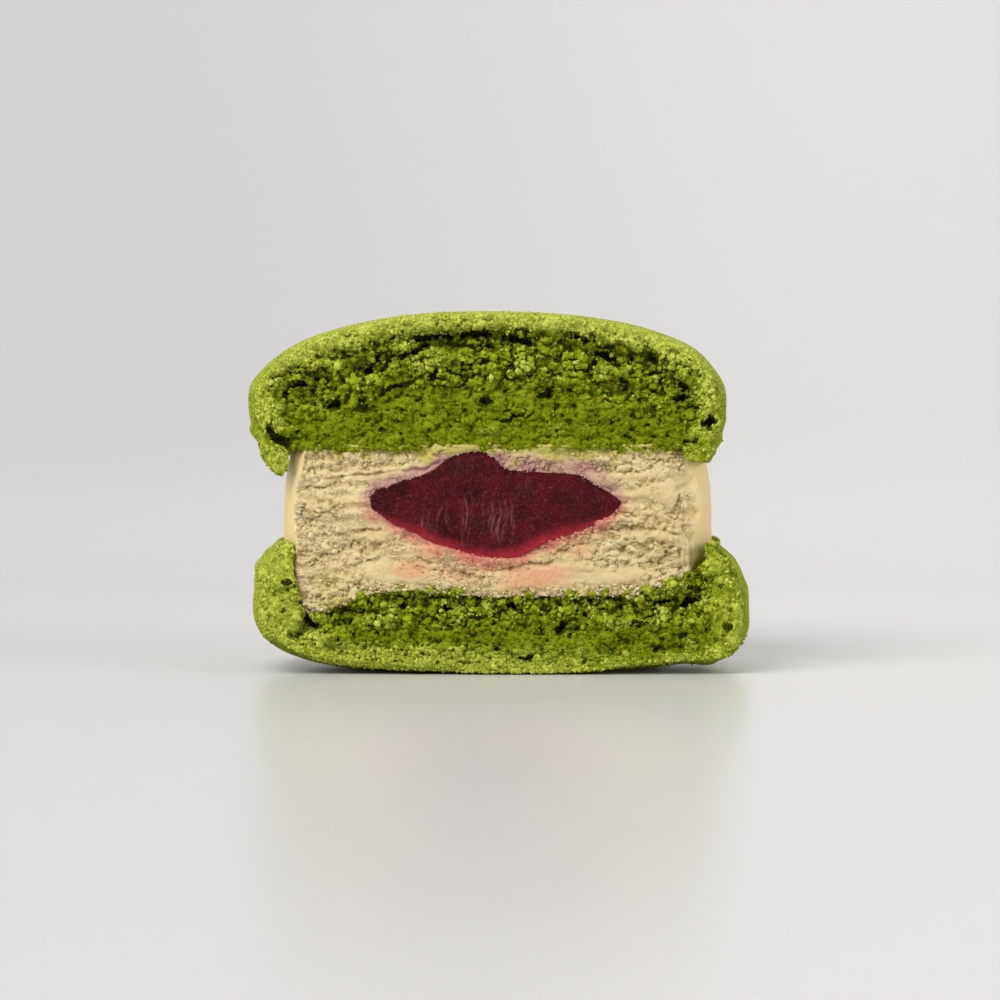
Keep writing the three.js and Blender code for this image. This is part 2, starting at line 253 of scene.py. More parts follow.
def spun(name: str, outline: Sequence[tuple[float, float]], turns: int) -> bpy.types.Object:
    """Spins an outline about the vertical axis.

    Args:
        name: the new object's name.
        outline: radius and height of each corner, from the axis round to the axis.
        turns: steps in a full turn.

    Returns:
        A closed piece about the origin's vertical axis.
    """
    bpy.ops.object.select_all(action="DESELECT")
    bpy.ops.mesh.primitive_circle_add(vertices=len(outline), radius=1.0)
    piece = bpy.context.object
    piece.name = piece.data.name = name
    move_points(piece, np.array([(radius, 0.0, z) for radius, z in outline]))
    ends = {0, len(outline) - 1}
    for edge in piece.data.edges:
        edge.select = set(edge.vertices) == ends
    bpy.ops.object.mode_set(mode="EDIT")
    bpy.ops.mesh.select_mode(type="EDGE")
    bpy.ops.mesh.delete(type="EDGE_FACE")
    bpy.ops.mesh.select_all(action="SELECT")
    bpy.ops.mesh.spin(steps=turns, angle=2 * math.pi, center=(0, 0, 0), axis=(0, 0, 1))
    bpy.ops.mesh.select_all(action="SELECT")
    bpy.ops.mesh.remove_doubles(threshold=1e-3)
    bpy.ops.mesh.normals_make_consistent(inside=False)
    bpy.ops.object.mode_set(mode="OBJECT")
    return piece


def knife(piece: bpy.types.Object) -> None:
    """Cuts away what stands in front of the cut and closes the face."""
    alone(piece)
    bpy.ops.object.mode_set(mode="EDIT")
    bpy.ops.mesh.select_all(action="SELECT")
    bpy.ops.mesh.bisect(
        plane_co=(0, CUT_Y, 0), plane_no=(0, 1, 0), use_fill=True, clear_inner=True, threshold=1e-5
    )
    bpy.ops.object.mode_set(mode="OBJECT")


def dome_arc(
    inner: float, outer: float, crown: float, belly: float, power: float, steps: int
) -> list[tuple[float, float]]:
    """Corners of a quarter of a superellipse, from the crown at the inner radius to the belly.

    Args:
        inner: radius where the crown's flat part ends.
        outer: radius of the belly.
        crown: height of the crown.
        belly: height of the widest ring.
        power: exponent of the superellipse.
        steps: number of stretches.

    Returns:
        Pairs of radius and height.
    """
    corners = []
    for i in range(steps + 1):
        angle = i / steps * math.pi / 2
        out = math.sin(angle) ** (2 / power)
        up = max(math.cos(angle), 0.0) ** (2 / power)
        corners.append((inner + (outer - inner) * out, belly + (crown - belly) * up))
    return corners


def smooth_path(corners: Sequence[tuple[float, float]], steps: int) -> list[tuple[float, float]]:
    """Runs a smooth line through corners.

    Args:
        corners: the points that it goes through.
        steps: number of steps between each two corners.

    Returns:
        The line's points, from the first corner to the last.
    """
    result = []
    last = len(corners) - 1
    for i in range(last):
        before, start, end, after = (np.array(corners[min(max(i + k, 0), last)]) for k in (-1, 0, 1, 2))
        for step in range(steps):
            t = step / steps
            point = start + 0.5 * t * (
                end - before + t * (2 * before - 5 * start + 4 * end - after)
                + t * t * (3 * (start - end) + after - before)
            )
            result.append(tuple(point))
    return result + [tuple(corners[-1])]


def ball_of(detail: int) -> tuple[bpy.types.Object, np.ndarray]:
    """Adds a unit ball with this many subdivisions, and gives it with its points."""
    bpy.ops.object.select_all(action="DESELECT")
    bpy.ops.mesh.primitive_ico_sphere_add(subdivisions=detail, radius=1.0)
    return bpy.context.object, points_of(bpy.context.object)


def multiply(ball: bpy.types.Object, name: str, copies: np.ndarray) -> bpy.types.Object:
    """Replaces a ball with many shaped copies of it, as one joined mesh.

    Args:
        ball: the ball, which becomes the joined piece.
        name: the piece's name.
        copies: the ball's points in each copy's shape and place, one block for each copy.

    Returns:
        The same object with all the copies.
    """
    corners = np.empty(len(ball.data.polygons) * 3, dtype=int)
    ball.data.polygons.foreach_get("vertices", corners)
    offsets = (np.arange(len(copies)) * copies.shape[1])[:, None, None]
    faces = (corners.reshape(1, -1, 3) + offsets).reshape(-1, 3)
    mesh = bpy.data.meshes.new(name)
    mesh.from_pydata(copies.reshape(-1, 3).tolist(), [], faces.tolist())
    spare = ball.data
    ball.data = mesh
    bpy.data.meshes.remove(spare)
    ball.name = name
    return ball


def lumps_mesh(
    name: str, centres: np.ndarray, radii: np.ndarray, tilts: np.ndarray, detail: int
) -> bpy.types.Object:
    """Makes many egg-shaped lumps as one joined mesh.

    Args:
        name: the new object's name.
        centres: middle of each lump.
        radii: half sizes of each lump along X, Y and Z.
        tilts: turn of each lump about Y, in radians.
        detail: subdivisions of the ball that they are made from.

    Returns:
        One object with all the lumps.
    """
    piece, ball = ball_of(detail)
    shaped = ball[None] * radii[:, None]
    turned = shaped.copy()
    cos, sin = np.cos(tilts)[:, None], np.sin(tilts)[:, None]
    turned[..., 0] = shaped[..., 0] * cos - shaped[..., 2] * sin
    turned[..., 2] = shaped[..., 0] * sin + shaped[..., 2] * cos
    return multiply(piece, name, turned + centres[:, None])


def strewn(
    name: str, places: np.ndarray, radii: np.ndarray, rng: np.random.Generator, detail: int
) -> bpy.types.Object:
    """Makes irregular grains as one joined mesh.

    Args:
        name: the new object's name.
        places: middle of each grain.
        radii: half sizes of each grain along its own three axes.
        rng: source of their shapes and turns.
        detail: subdivisions of the ball that they are made from.

    Returns:
        One object with all the grains.
    """
    piece, ball = ball_of(detail)
    dents = rng.uniform(*GRAIN_DENTS, (len(places), len(ball), 1))
    axes = np.linalg.qr(rng.normal(size=(len(places), 3, 3)))[0]
    axes *= np.linalg.det(axes)[:, None, None]
    grains = np.einsum("gij,gkj->gki", axes, ball[None] * dents * radii[:, None]) + places[:, None]
    return multiply(piece, name, grains)


def thinned(piece: bpy.types.Object, plain: np.ndarray, limit: int) -> None:
    """Takes triangles out of a piece until it is light enough, most where it is plain.

    Args:
        piece: the piece, which is changed.
        plain: how plain it is at each vertex, from 0 to 1.
        limit: the most triangles that it may keep.
    """
    weigh(piece, "plain", LEAST_PLAIN + (1 - LEAST_PLAIN) * plain)
    share = min(1.0, limit / (len(piece.data.polygons) * 2))
    modify(piece, "DECIMATE", ratio=share, vertex_group="plain", vertex_group_factor=12.0)


def roughen(piece: bpy.types.Object, layers: Sequence[Layer]) -> None:
    """Raises layers of relief on a piece, one after the other.

    Args:
        piece: the object, which is changed.
        layers: the passes, in order.
    """
    for layer in layers:
        texture = bpy.data.textures.new(f"{piece.name}_{layer.kind.lower()}_{layer.size}", layer.kind)
        texture.noise_scale = layer.size
        if layer.octaves:
            texture.noise_depth = layer.octaves
        modify(
            piece, "DISPLACE", texture=texture, texture_coords="LOCAL", strength=layer.strength,
            mid_level=0.5 if layer.kind == "CLOUDS" else 0.45, vertex_group=layer.group, direction=layer.way,
        )


def neighbour_mean(piece: bpy.types.Object, values: np.ndarray, rounds: int) -> np.ndarray:
    """Evens out one value for each vertex along the mesh's edges.

    Args:
        piece: the object whose edges join the vertices.
        values: one value for each vertex.
        rounds: how many times each value becomes the mean of itself and its neighbours.

    Returns:
        The evened values.
    """
    ends = np.empty(len(piece.data.edges) * 2, dtype=int)
    piece.data.edges.foreach_get("vertices", ends)
    first, second = ends[0::2], ends[1::2]
    count = np.bincount(ends, minlength=len(values)) + 1.0
    for _ in range(rounds):
        total = np.bincount(first, values[second], len(values))
        total += np.bincount(second, values[first], len(values))
        values = (total + values) / count
    return values


def normals_of(piece: bpy.types.Object) -> np.ndarray:
    """The piece's vertex normals, one row each."""
    flat = np.empty(len(piece.data.vertices) * 3)
    piece.data.vertices.foreach_get("normal", flat)
    return flat.reshape(-1, 3)


def relief_of(piece: bpy.types.Object, rounds: int) -> np.ndarray:
    """How far each vertex stands out of its surroundings, in millimetres."""
    points = points_of(piece)
    even = np.stack([neighbour_mean(piece, points[:, axis], rounds) for axis in range(3)], axis=1)
    return np.sum((points - even) * normals_of(piece), axis=1)


def record_field(piece: bpy.types.Object, name: str, values: np.ndarray) -> None:
    """Stores one number for each vertex, for the finish to read."""
    attribute = piece.data.attributes.new(name, "FLOAT", "POINT")
    attribute.data.foreach_set("value", values.astype(np.float32))


def field_of(piece: bpy.types.Object, name: str) -> np.ndarray:
    """The numbers that record_field stored."""
    values = np.empty(len(piece.data.vertices), dtype=np.float32)
    piece.data.attributes[name].data.foreach_get("value", values)
    return values.astype(float)


@dataclass
class Grit:
    """Grains that cling to a piece. Each takes its tints from the place that it clings to."""

    host: bpy.types.Object
    seed: int
    fields: tuple[str, ...]
    batches: list[bpy.types.Object] = field(default_factory=list)
    rng: np.random.Generator = field(init=False)
    points: np.ndarray = field(init=False)
    normals: np.ndarray = field(init=False)
    values: dict[str, np.ndarray] = field(init=False)

    def __post_init__(self) -> None:
        """Reads the host's surface."""
        self.rng = np.random.default_rng(self.seed)
        self.points = points_of(self.host)
        self.normals = normals_of(self.host)
        self.values = {name: field_of(self.host, name) for name in self.fields}

    def add(
        self,
        likely: np.ndarray,
        count: int,
        radius: tuple[float, float],
        lift: float = 0.45,
        detail: int = 1,
        shape: tuple[float, float, float] = (1.0, 1.0, 1.0),
    ) -> None:
        """Strews grains over the host.

        Args:
            likely: each vertex's share of the grains.
            count: number of grains.
            radius: smallest and largest half size; small ones are more frequent.
            lift: how far the highest stand out, in their own radius.
            detail: subdivisions of their ball.
            shape: stretch along each grain's own axes.
        """
        chosen = self.rng.choice(len(likely), count, p=likely / likely.sum())
        size = radius[0] + (radius[1] - radius[0]) * self.rng.random(count) ** 2
        raised = size * self.rng.uniform(-0.35, lift, count)
        places = self.points[chosen] + self.normals[chosen] * raised[:, None]
        places[:, 2] = np.maximum(places[:, 2], size * 1.3)
        radii = size[:, None] * self.rng.uniform(0.65, 1.35, (count, 3)) * shape
        batch = strewn(f"{self.host.name}_batch", places, radii, self.rng, detail)
        corners = len(batch.data.vertices) // count
        for name, values in self.values.items():
            record_field(batch, name, np.repeat(values[chosen], corners))
        # Tone clumps; in the biscuit's finish the grains of highest tone get a painted highlight.
        bright = 1.1 + 0.5 * noise(places, 1.1, self.seed + 1)
        record_field(batch, "tone", np.repeat(self.rng.random(count) * bright, corners))
        self.batches.append(batch)

    def piece(self, name: str) -> bpy.types.Object:
        """Joins all the grains into one piece."""
        bpy.ops.object.select_all(action="DESELECT")
        for batch in self.batches:
            batch.select_set(True)
        bpy.context.view_layer.objects.active = self.batches[0]
        bpy.ops.object.join()
        joined = bpy.context.object
        joined.name = joined.data.name = name
        return joined


def finished(
    piece: bpy.types.Object, material: bpy.types.Material, node: str | None = None
) -> bpy.types.Object:
    """Brings a piece to metres, dresses it and hands it to the frame.

    Args:
        piece: the piece in millimetres.
        material: its finish.
        node: the CAD node that it stands for, or nothing for a piece that is added.

    Returns:
        The same piece.
    """
    piece.data.transform(Matrix.Scale(MM, 4))
    piece.data.materials.clear()
    piece.data.materials.append(material)
    alone(piece)
    bpy.ops.object.shade_smooth()
    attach(piece, ROOT_BODY)
    if node:
        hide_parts(node)
    log.info("%s: %d faces", piece.name, len(piece.data.polygons))
    return piece


# ---------------------------------------------------------------- finishes


class Shader:
    """A material whose nodes are added with short calls."""

    def __init__(self, name: str) -> None:
        """Starts an empty material with a principled surface."""
        self.material = bpy.data.materials.new(name)
        self.material.use_nodes = True
        self.nodes = self.material.node_tree.nodes
        self.links = self.material.node_tree.links
        self.surface = self.nodes["Principled BSDF"]
        self.place = self.nodes.new("ShaderNodeTexCoord").outputs["Object"]

    def feed(self, socket: bpy.types.NodeSocket, value: object) -> None:
        """Links an output to a socket, or sets the socket's own value."""
        if isinstance(value, bpy.types.NodeSocket):
            self.links.new(value, socket)
        else:
            socket.default_value = value

    def attribute(self, name: str) -> bpy.types.NodeSocket:
        """A number stored on the mesh."""
        node = self.nodes.new("ShaderNodeAttribute")
        node.attribute_name = name
        return node.outputs["Fac"]

    def noise(
        self, size: float, detail: float = 2.0, stretch: Sequence[float] = (1, 1, 1)
    ) -> bpy.types.NodeSocket:
        """Cloudy noise from 0 to 1, with lumps of a size in millimetres."""
        mapping = self.nodes.new("ShaderNodeMapping")
        mapping.inputs["Scale"].default_value = stretch
        self.links.new(self.place, mapping.inputs["Vector"])
        node = self.nodes.new("ShaderNodeTexNoise")
        node.inputs["Scale"].default_value = 1 / (size * MM)
        node.inputs["Detail"].default_value = detail
        self.links.new(mapping.outputs["Vector"], node.inputs["Vector"])
        return node.outputs["Fac"]

    def spread(
        self, value: object, low: float, high: float, start: float = 0.0, end: float = 1.0
    ) -> bpy.types.NodeSocket:
        """Carries low..high over to start..end, smoothly and held at both ends."""
        node = self.nodes.new("ShaderNodeMapRange")
        node.interpolation_type = "SMOOTHSTEP"
        self.feed(node.inputs["Value"], value)
        for name, number in (("From Min", low), ("From Max", high), ("To Min", start), ("To Max", end)):
            node.inputs[name].default_value = number
        return node.outputs["Result"]

    def math(self, operation: str, first: object, second: object = 0.0) -> bpy.types.NodeSocket:
        """One sum of two values."""
        node = self.nodes.new("ShaderNodeMath")
        node.operation = operation
        self.feed(node.inputs[0], first)
        self.feed(node.inputs[1], second)
        return node.outputs[0]

    def mix(self, share: object, first: object, second: object) -> bpy.types.NodeSocket:
        """Goes from the first colour to the second."""
        node = self.nodes.new("ShaderNodeMix")
        node.data_type = "RGBA"
        colours = [socket for socket in node.inputs if socket.type == "RGBA"]
        self.feed(node.inputs["Factor"], share)
        for socket, colour in zip(colours, (first, second)):
            self.feed(socket, (*colour, 1.0) if isinstance(colour, tuple) else colour)
        return next(socket for socket in node.outputs if socket.type == "RGBA")

    def surfaced(
        self,
        colour: bpy.types.NodeSocket,
        roughness: float,
        specular: float,
        glow: tuple[float, Colour, float] | None = None,
    ) -> bpy.types.Material:
        """Sets the surface and gives the material.

        Args:
            colour: its base colour.
            roughness: from 0 for a mirror to 1.
            specular: strength of its gloss.
            glow: how much light goes in, how far each colour goes, and that distance's scale in millimetres.

        Returns:
            The finished material.
        """
        inputs = self.surface.inputs
        self.feed(inputs["Base Color"], colour)
        inputs["Roughness"].default_value = roughness
        inputs["Specular IOR Level"].default_value = specular
        if glow:
            inputs["Subsurface Weight"].default_value = glow[0]
            inputs["Subsurface Radius"].default_value = glow[1]
            inputs["Subsurface Scale"].default_value = glow[2] * MM
        return self.material

    def bump(self, height: bpy.types.NodeSocket, depth: float, strength: float) -> None:
        """Gives the surface a fine relief of a depth in millimetres."""
        node = self.nodes.new("ShaderNodeBump")
        node.inputs["Distance"].default_value = depth * MM
        node.inputs["Strength"].default_value = strength
        self.links.new(height, node.inputs["Height"])
        self.links.new(node.outputs["Normal"], self.surface.inputs["Normal"])


@dataclass(frozen=True)
class BiscuitFinish:
    """Dry almond biscuit: a firm dull skin, a pale sandy crust, and crumb with painted shade in its hollows
    and painted glints on its brightest grains.
    """

    # Painted shade: deep is the colour that hollows, sunken places and the underside below the cut's left
    # edge darken toward.
    deep: Colour = (0.098, 0.120, 0.0010)
    crumb: Colour = (0.118, 0.160, 0.0008)
    fresh: Colour = (0.400, 0.470, 0.0200)
    pit: Colour = (0.190, 0.235, 0.0050)
    crust: Colour = (0.560, 0.620, 0.0850)
    skin: Colour = (0.330, 0.385, 0.0380)
    popped: Colour = (0.600, 0.655, 0.1100)
    # A painted highlight on the grains of highest tone.
    painted_glint: Colour = (0.660, 0.720, 0.1700)

    def material(self) -> bpy.types.Material:
        """Builds the finish."""
        shader = Shader("almond_biscuit")
        tone = shader.attribute("tone")
        patches = shader.spread(shader.noise(1.3, 3.0), 0.36, 0.64, 0.0, 0.5)
        share = shader.math("ADD", patches, shader.math("MULTIPLY", tone, 0.5))
        dense = shader.attribute("dense")
        # Dense crumb is darker: partly moister crumb, partly painted shade for the shadows between its lumps.
        moist_and_shaded = shader.math("SUBTRACT", 1.0, shader.math("MULTIPLY", dense, 0.52))
        colour = shader.mix(shader.math("MULTIPLY", share, moist_and_shaded), self.crumb, self.fresh)
        specks = shader.spread(shader.noise(0.28, 3.0), 0.36, 0.58, 0.35, 1.0)
        grainy = shader.math("MULTIPLY", shader.spread(tone, 0.1, 0.8), specks)
        sandy = shader.mix(grainy, self.pit, self.crust)
        colour = shader.mix(shader.attribute("crust"), colour, sandy)
        colour = shader.mix(shader.attribute("outer"), colour, shader.mix(specks, self.pit, self.skin))
        popped = shader.math("MULTIPLY", shader.attribute("pale"), specks)
        colour = shader.mix(popped, colour, self.popped)
        # Painted highlight: grains of high tone take the glint colour, fewer where the crumb is dense.
        glint_reach = shader.math("SUBTRACT", 1.15, shader.math("MULTIPLY", dense, 0.35))
        bright = shader.math("MULTIPLY", tone, glint_reach)
        colour = shader.mix(shader.spread(bright, 0.8, 1.35, 0.0, 0.5), colour, self.painted_glint)
        # Painted shade: sunken places in the relief and the depth field darken the crumb toward the deep
        # colour.
        sunk = shader.spread(shader.attribute("relief"), -0.22, -0.02, 0.68, 0.0)
        dark = shader.math("MAXIMUM", sunk, shader.attribute("depth"))
        colour = shader.mix(dark, colour, self.deep)
        shader.bump(shader.noise(0.2, 4.0), 0.14, 0.9)
        return shader.surfaced(colour, 0.9, 0.06, (0.08, (0.6, 0.7, 0.1), 0.3))


@dataclass(frozen=True)
class CreamFinish:
    """Whipped buttercream: satin where spread, rough where torn, and tinted beside its neighbours; painted
    light brightens its wall and crests, and painted shade darkens its creases.
    """

    face: Colour = (0.60, 0.455, 0.215)
    # Painted light: the wall's colour is set brighter than the face's, which lifts the smooth wall where the
    # lamps leave it dim; it is the same cream.
    wall: Colour = (0.82, 0.62, 0.268)
    # Painted shade: the colour that sunken places in the relief darken toward.
    crease_shade: Colour = (0.42, 0.29, 0.10)
    # pale: real pale patches of cream, and also a painted highlight on raised crests.
    pale: Colour = (0.78, 0.66, 0.41)
    blush: Colour = (0.64, 0.30, 0.17)
    mauve: Colour = (0.44, 0.20, 0.21)
    red: Colour = (0.60, 0.13, 0.13)
    stain: Colour = (0.42, 0.42, 0.006)

    def material(self) -> bpy.types.Material:
        """Builds the finish."""
        shader = Shader("buttercream")
        patches = shader.spread(shader.noise(2.4, 2.0, (0.5, 1, 1)), 0.4, 0.62, 0.0, 0.3)
        # Painted light: the wall and the face's two ends take the brighter wall colour.
        colour = shader.mix(shader.attribute("cut"), self.wall, self.face)
        tone = shader.math("MULTIPLY", shader.attribute("tone"), 0.3)
        colour = shader.mix(shader.math("ADD", patches, tone), colour, self.pale)
        relief = shader.attribute("relief")
        # Painted highlight: raised places in the relief are lightened toward the pale colour.
        colour = shader.mix(shader.spread(relief, 0.02, 0.2, 0.0, 0.5), colour, self.pale)
        # Painted shade: sunken places in the relief darken toward a darker painted shade.
        colour = shader.mix(shader.spread(relief, -0.16, -0.02, 0.8, 0.0), colour, self.crease_shade)
        specks = shader.spread(shader.noise(0.3, 3.0), 0.35, 0.6, 0.55, 1.0)
        for name in ("blush", "mauve", "red", "stain"):
            share = shader.math("MULTIPLY", shader.attribute(name), specks)
            colour = shader.mix(share, colour, getattr(self, name))
        shader.bump(shader.noise(0.22, 4.0), 0.1, 0.7)
        return shader.surfaced(colour, 0.6, 0.3, (0.15, (1.0, 0.7, 0.35), 0.5))


@dataclass(frozen=True)
class JellyFinish:
    """Moist dark fruit jelly with pale knife marks and a clear red edge."""

    body: Colour = (0.073, 0.0028, 0.0052)
    shade: Colour = (0.040, 0.0020, 0.0035)
    fleck: Colour = (0.160, 0.036, 0.042)
    mark: Colour = (0.205, 0.075, 0.082)
    rim: Colour = (0.370, 0.022, 0.034)

    def material(self) -> bpy.types.Material:
        """Builds the finish."""
        shader = Shader("fruit_jelly")
        colour = shader.mix(shader.spread(shader.noise(2.0, 4.0), 0.38, 0.62), self.body, self.shade)
        flecks = shader.spread(shader.noise(0.22, 3.0), 0.5, 0.72, 0.0, 0.55)
        colour = shader.mix(flecks, colour, self.fleck)
        colour = shader.mix(shader.attribute("marked"), colour, self.mark)
        colour = shader.mix(shader.attribute("rim"), colour, self.rim)
        shader.bump(shader.noise(0.26, 3.0), 0.07, 0.6)
        return shader.surfaced(colour, 0.5, 0.1, (0.15, (1.0, 0.1, 0.15), 0.6))


# ---------------------------------------------------------------- places in the cut


def ovals(*rows: tuple[float, ...]) -> tuple[Patch, ...]:
    """Patches from plain rows of their numbers."""
    return tuple(Patch(*row) for row in rows)


# Hollows that the oven left in the lid, with the pits and cracks of its rim.
LID_HOLLOWS = ovals(
    (-2.9, 34.0, 3.0, 0.5, 2.6, 3), (1.6, 33.6, 2.4, 0.5, 2.8, -14), (-7.4, 33.9, 1.8, 0.5, 2.2),
    (-8.6, 32.3, 1.8, 0.6, 2.2, 28), (8.3, 33.6, 1.6, 0.5, 2.0, -8), (10.5, 31.9, 1.5, 0.6, 2.4, -20),
    (8.8, 30.8, 1.1, 0.5, 1.8, 10), (15.2, 31.8, 1.5, 0.7, 2.2, -30), (15.8, 30.4, 1.1, 0.4, 1.6, 12),
    (19.3, 30.2, 1.0, 0.4, 1.4, -18), (18.3, 29.1, 0.8, 0.5, 1.6), (18.4, 27.6, 1.3, 0.45, 2.0, 18),
    (15.1, 26.7, 1.0, 0.5, 1.6, 20), (12.4, 28.7, 0.8, 0.5, 1.6, 20), (21.0, 25.6, 0.55, 0.9, 3.2, 20),
    (21.6, 24.3, 1.3, 0.25, 2.8, -12), (18.9, 23.4, 0.9, 0.25, 1.4, -6), (12.6, 23.9, 0.9, 0.2, 1.2, -10),
    (-20.4, 29.0, 1.3, 0.5, 2.2, 8), (-18.4, 30.6, 1.2, 0.45, 2.0, 16), (-13.2, 30.5, 0.7, 0.4, 1.8),
    (-9.8, 29.0, 1.9, 0.4, 1.9, 10), (-5.8, 29.6, 1.6, 0.35, 1.6, -6), (-13.5, 26.6, 1.5, 0.5, 2.0),
    (-16.8, 27.1, 1.0, 0.6, 1.8), (-1.4, 27.5, 0.8, 0.6, 2.2, -8), (4.5, 28.2, 1.2, 0.6, 2.1, 22),
    (1.2, 25.9, 1.6, 0.25, 1.5, 22), (-22.6, 29.5, 0.4, 0.7, 1.2, -20), (-22.3, 23.8, 2.0, 0.8, 4.0, -44),
    (-21.1, 22.6, 0.7, 0.5, 3.0, -60), (-22.6, 27.9, 0.3, 0.4, 1.4), (-21.9, 26.9, 0.35, 0.3, 1.4),
    (-20.9, 30.3, 0.5, 0.25, 1.3, 40), (20.3, 25.0, 0.4, 0.5, 1.6), (21.5, 28.3, 0.3, 0.5, 1.3),
    (-22.8, 25.7, 0.3, 0.45, 1.0, -20),
)
# Stretches of the lid's crumb that came away deeper than the rest.
LID_RECESSES = ovals(
    (-1.0, 33.2, 10.0, 1.3, 1.3), (11.0, 32.2, 4.5, 1.3, 1.2, -16), (-12.0, 31.4, 5.0, 1.0, 0.9, 18),
    (-19.0, 29.3, 2.6, 0.9, 0.8, 30), (-12.0, 27.6, 6.0, 0.9, 0.7, 6), (6.0, 28.3, 4.0, 0.8, 0.6),
    (17.5, 28.3, 3.0, 1.4, 0.8, -30),
)
# The same places for the base.
BASE_HOLLOWS = ovals(
    (-21.2, 9.4, 1.1, 0.3, 2.4, 4), (-19.7, 7.4, 0.3, 1.7, 2.6, 18), (-19.0, 5.1, 1.3, 0.5, 2.6, -48),
    (-15.6, 7.0, 0.35, 0.4, 1.6), (-13.2, 7.2, 0.4, 0.5, 1.8), (-15.3, 5.4, 0.9, 0.35, 1.6, 6),
    (-9.8, 6.8, 0.7, 0.45, 2.0, 10), (-8.0, 8.1, 0.9, 0.35, 2.0), (-5.3, 6.7, 1.0, 0.5, 2.2, -25),
    (-6.3, 3.4, 0.35, 0.3, 1.4), (-3.6, 2.4, 0.25, 0.8, 1.4, -20), (-0.3, 2.9, 0.5, 0.5, 2.0),
    (-2.0, 7.6, 1.0, 0.35, 1.8), (1.2, 6.9, 0.8, 0.6, 2.0, -10), (2.8, 1.6, 1.8, 0.35, 2.6, 6),
    (6.2, 4.9, 1.0, 0.6, 2.2, 42), (7.6, 6.7, 0.5, 0.55, 2.0, 30), (11.0, 7.7, 1.6, 0.3, 2.0),
    (16.2, 7.2, 1.1, 0.4, 2.2, 6), (19.0, 7.3, 1.1, 0.5, 2.4, 24), (22.8, 4.8, 0.5, 0.4, 1.6),
    (15.7, 2.6, 0.6, 0.35, 1.8, 20), (14.0, 4.8, 0.5, 0.3, 1.6), (18.6, 4.0, 0.6, 0.4, 1.8),
)
BASE_RECESSES = ovals(
    (-6.0, 7.2, 6.0, 0.8, 0.7), (8.0, 6.8, 7.0, 0.9, 0.7), (-16.0, 5.6, 3.6, 1.0, 0.9, 12),
    (18.6, 7.2, 2.2, 1.4, 1.0, 20), (4.0, 4.2, 5.0, 0.9, 0.6),
)
# Heaps of pale crumbs on the lid's cut.
LID_HEAPS = ovals(
    (-18.7, 31.3, 0.9, 0.7), (-22.6, 26.2, 0.7, 1.5), (-9.7, 33.1, 1.2, 0.6),
    (-7.1, 31.5, 2.0, 0.8, 1.0, 6), (-14.3, 32.9, 1.1, 0.7), (-16.6, 31.6, 1.0, 0.6, 0.7),
    (2.2, 31.3, 0.7, 0.7), (10.5, 30.6, 0.9, 0.6), (16.9, 31.4, 1.0, 1.0), (20.1, 28.4, 1.1, 1.0),
    (20.6, 26.9, 0.8, 0.8), (12.6, 33.2, 2.2, 0.4, 0.8, -14), (18.2, 30.0, 0.8, 0.6, 0.8),
    (-1.0, 24.4, 0.9, 0.5, 0.5), (5.8, 24.6, 0.9, 0.5, 0.5), (-22.2, 24.4, 0.5, 0.5, 0.8),
    (19.4, 24.4, 0.9, 0.5, 0.6),
)
# Whole lobes of the lid's foot, which kept their skin.
LID_LOBES = ovals(
    (-22.6, 23.4, 1.5, 2.2, 0.8, 10), (21.4, 23.6, 1.2, 1.4, 0.8),
)
# Single round crumbs on the lid's cut.
LID_BALLS = ovals(
    (8.0, 30.0, 0.42, 0.42),
)
BASE_HEAPS = ovals(
    (-11.8, 6.0, 1.0, 1.0, 0.9), (-13.1, 5.6, 0.6, 0.4, 0.7), (-17.8, 3.8, 1.3, 0.35, 1.0, -8),
    (-7.2, 2.5, 0.6, 0.4, 1.0), (-4.6, 6.4, 0.9, 0.5, 0.5), (14.2, 8.2, 0.9, 0.6, 1.0),
    (17.4, 8.9, 1.5, 0.5, 0.8, 14), (15.8, 5.8, 0.9, 0.9, 0.9), (11.3, 5.2, 1.5, 0.5, 0.8, 8),
    (8.0, 2.4, 0.5, 0.7, 0.9), (20.6, 7.0, 0.5, 0.9, 1.0), (19.2, 3.3, 0.6, 0.6, 0.8),
    (-15.4, 9.0, 0.6, 0.6, 0.6),
)
BASE_LOBES = ovals(
    (-22.0, 10.6, 1.7, 2.2, 1.0, 14), (-21.6, 6.4, 1.7, 2.4), (22.6, 6.6, 1.6, 3.4, 1.0, -4),
    (22.0, 11.6, 1.6, 1.4),
)
BASE_BALLS = ovals(
    (-1.3, 7.0, 0.62, 0.62),
)


# ---------------------------------------------------------------- the biscuits


# The crumb's lumps, coarse and fine: their size, how deep the gaps between them are, how far they step in and
# out, and which pattern they take.
CRUMB_LUMPS = (((3.0, 3.0, 1.5), 0.5, 1.1, 20), ((1.25, 1.5, 0.85), 0.55, 0.75, 30))


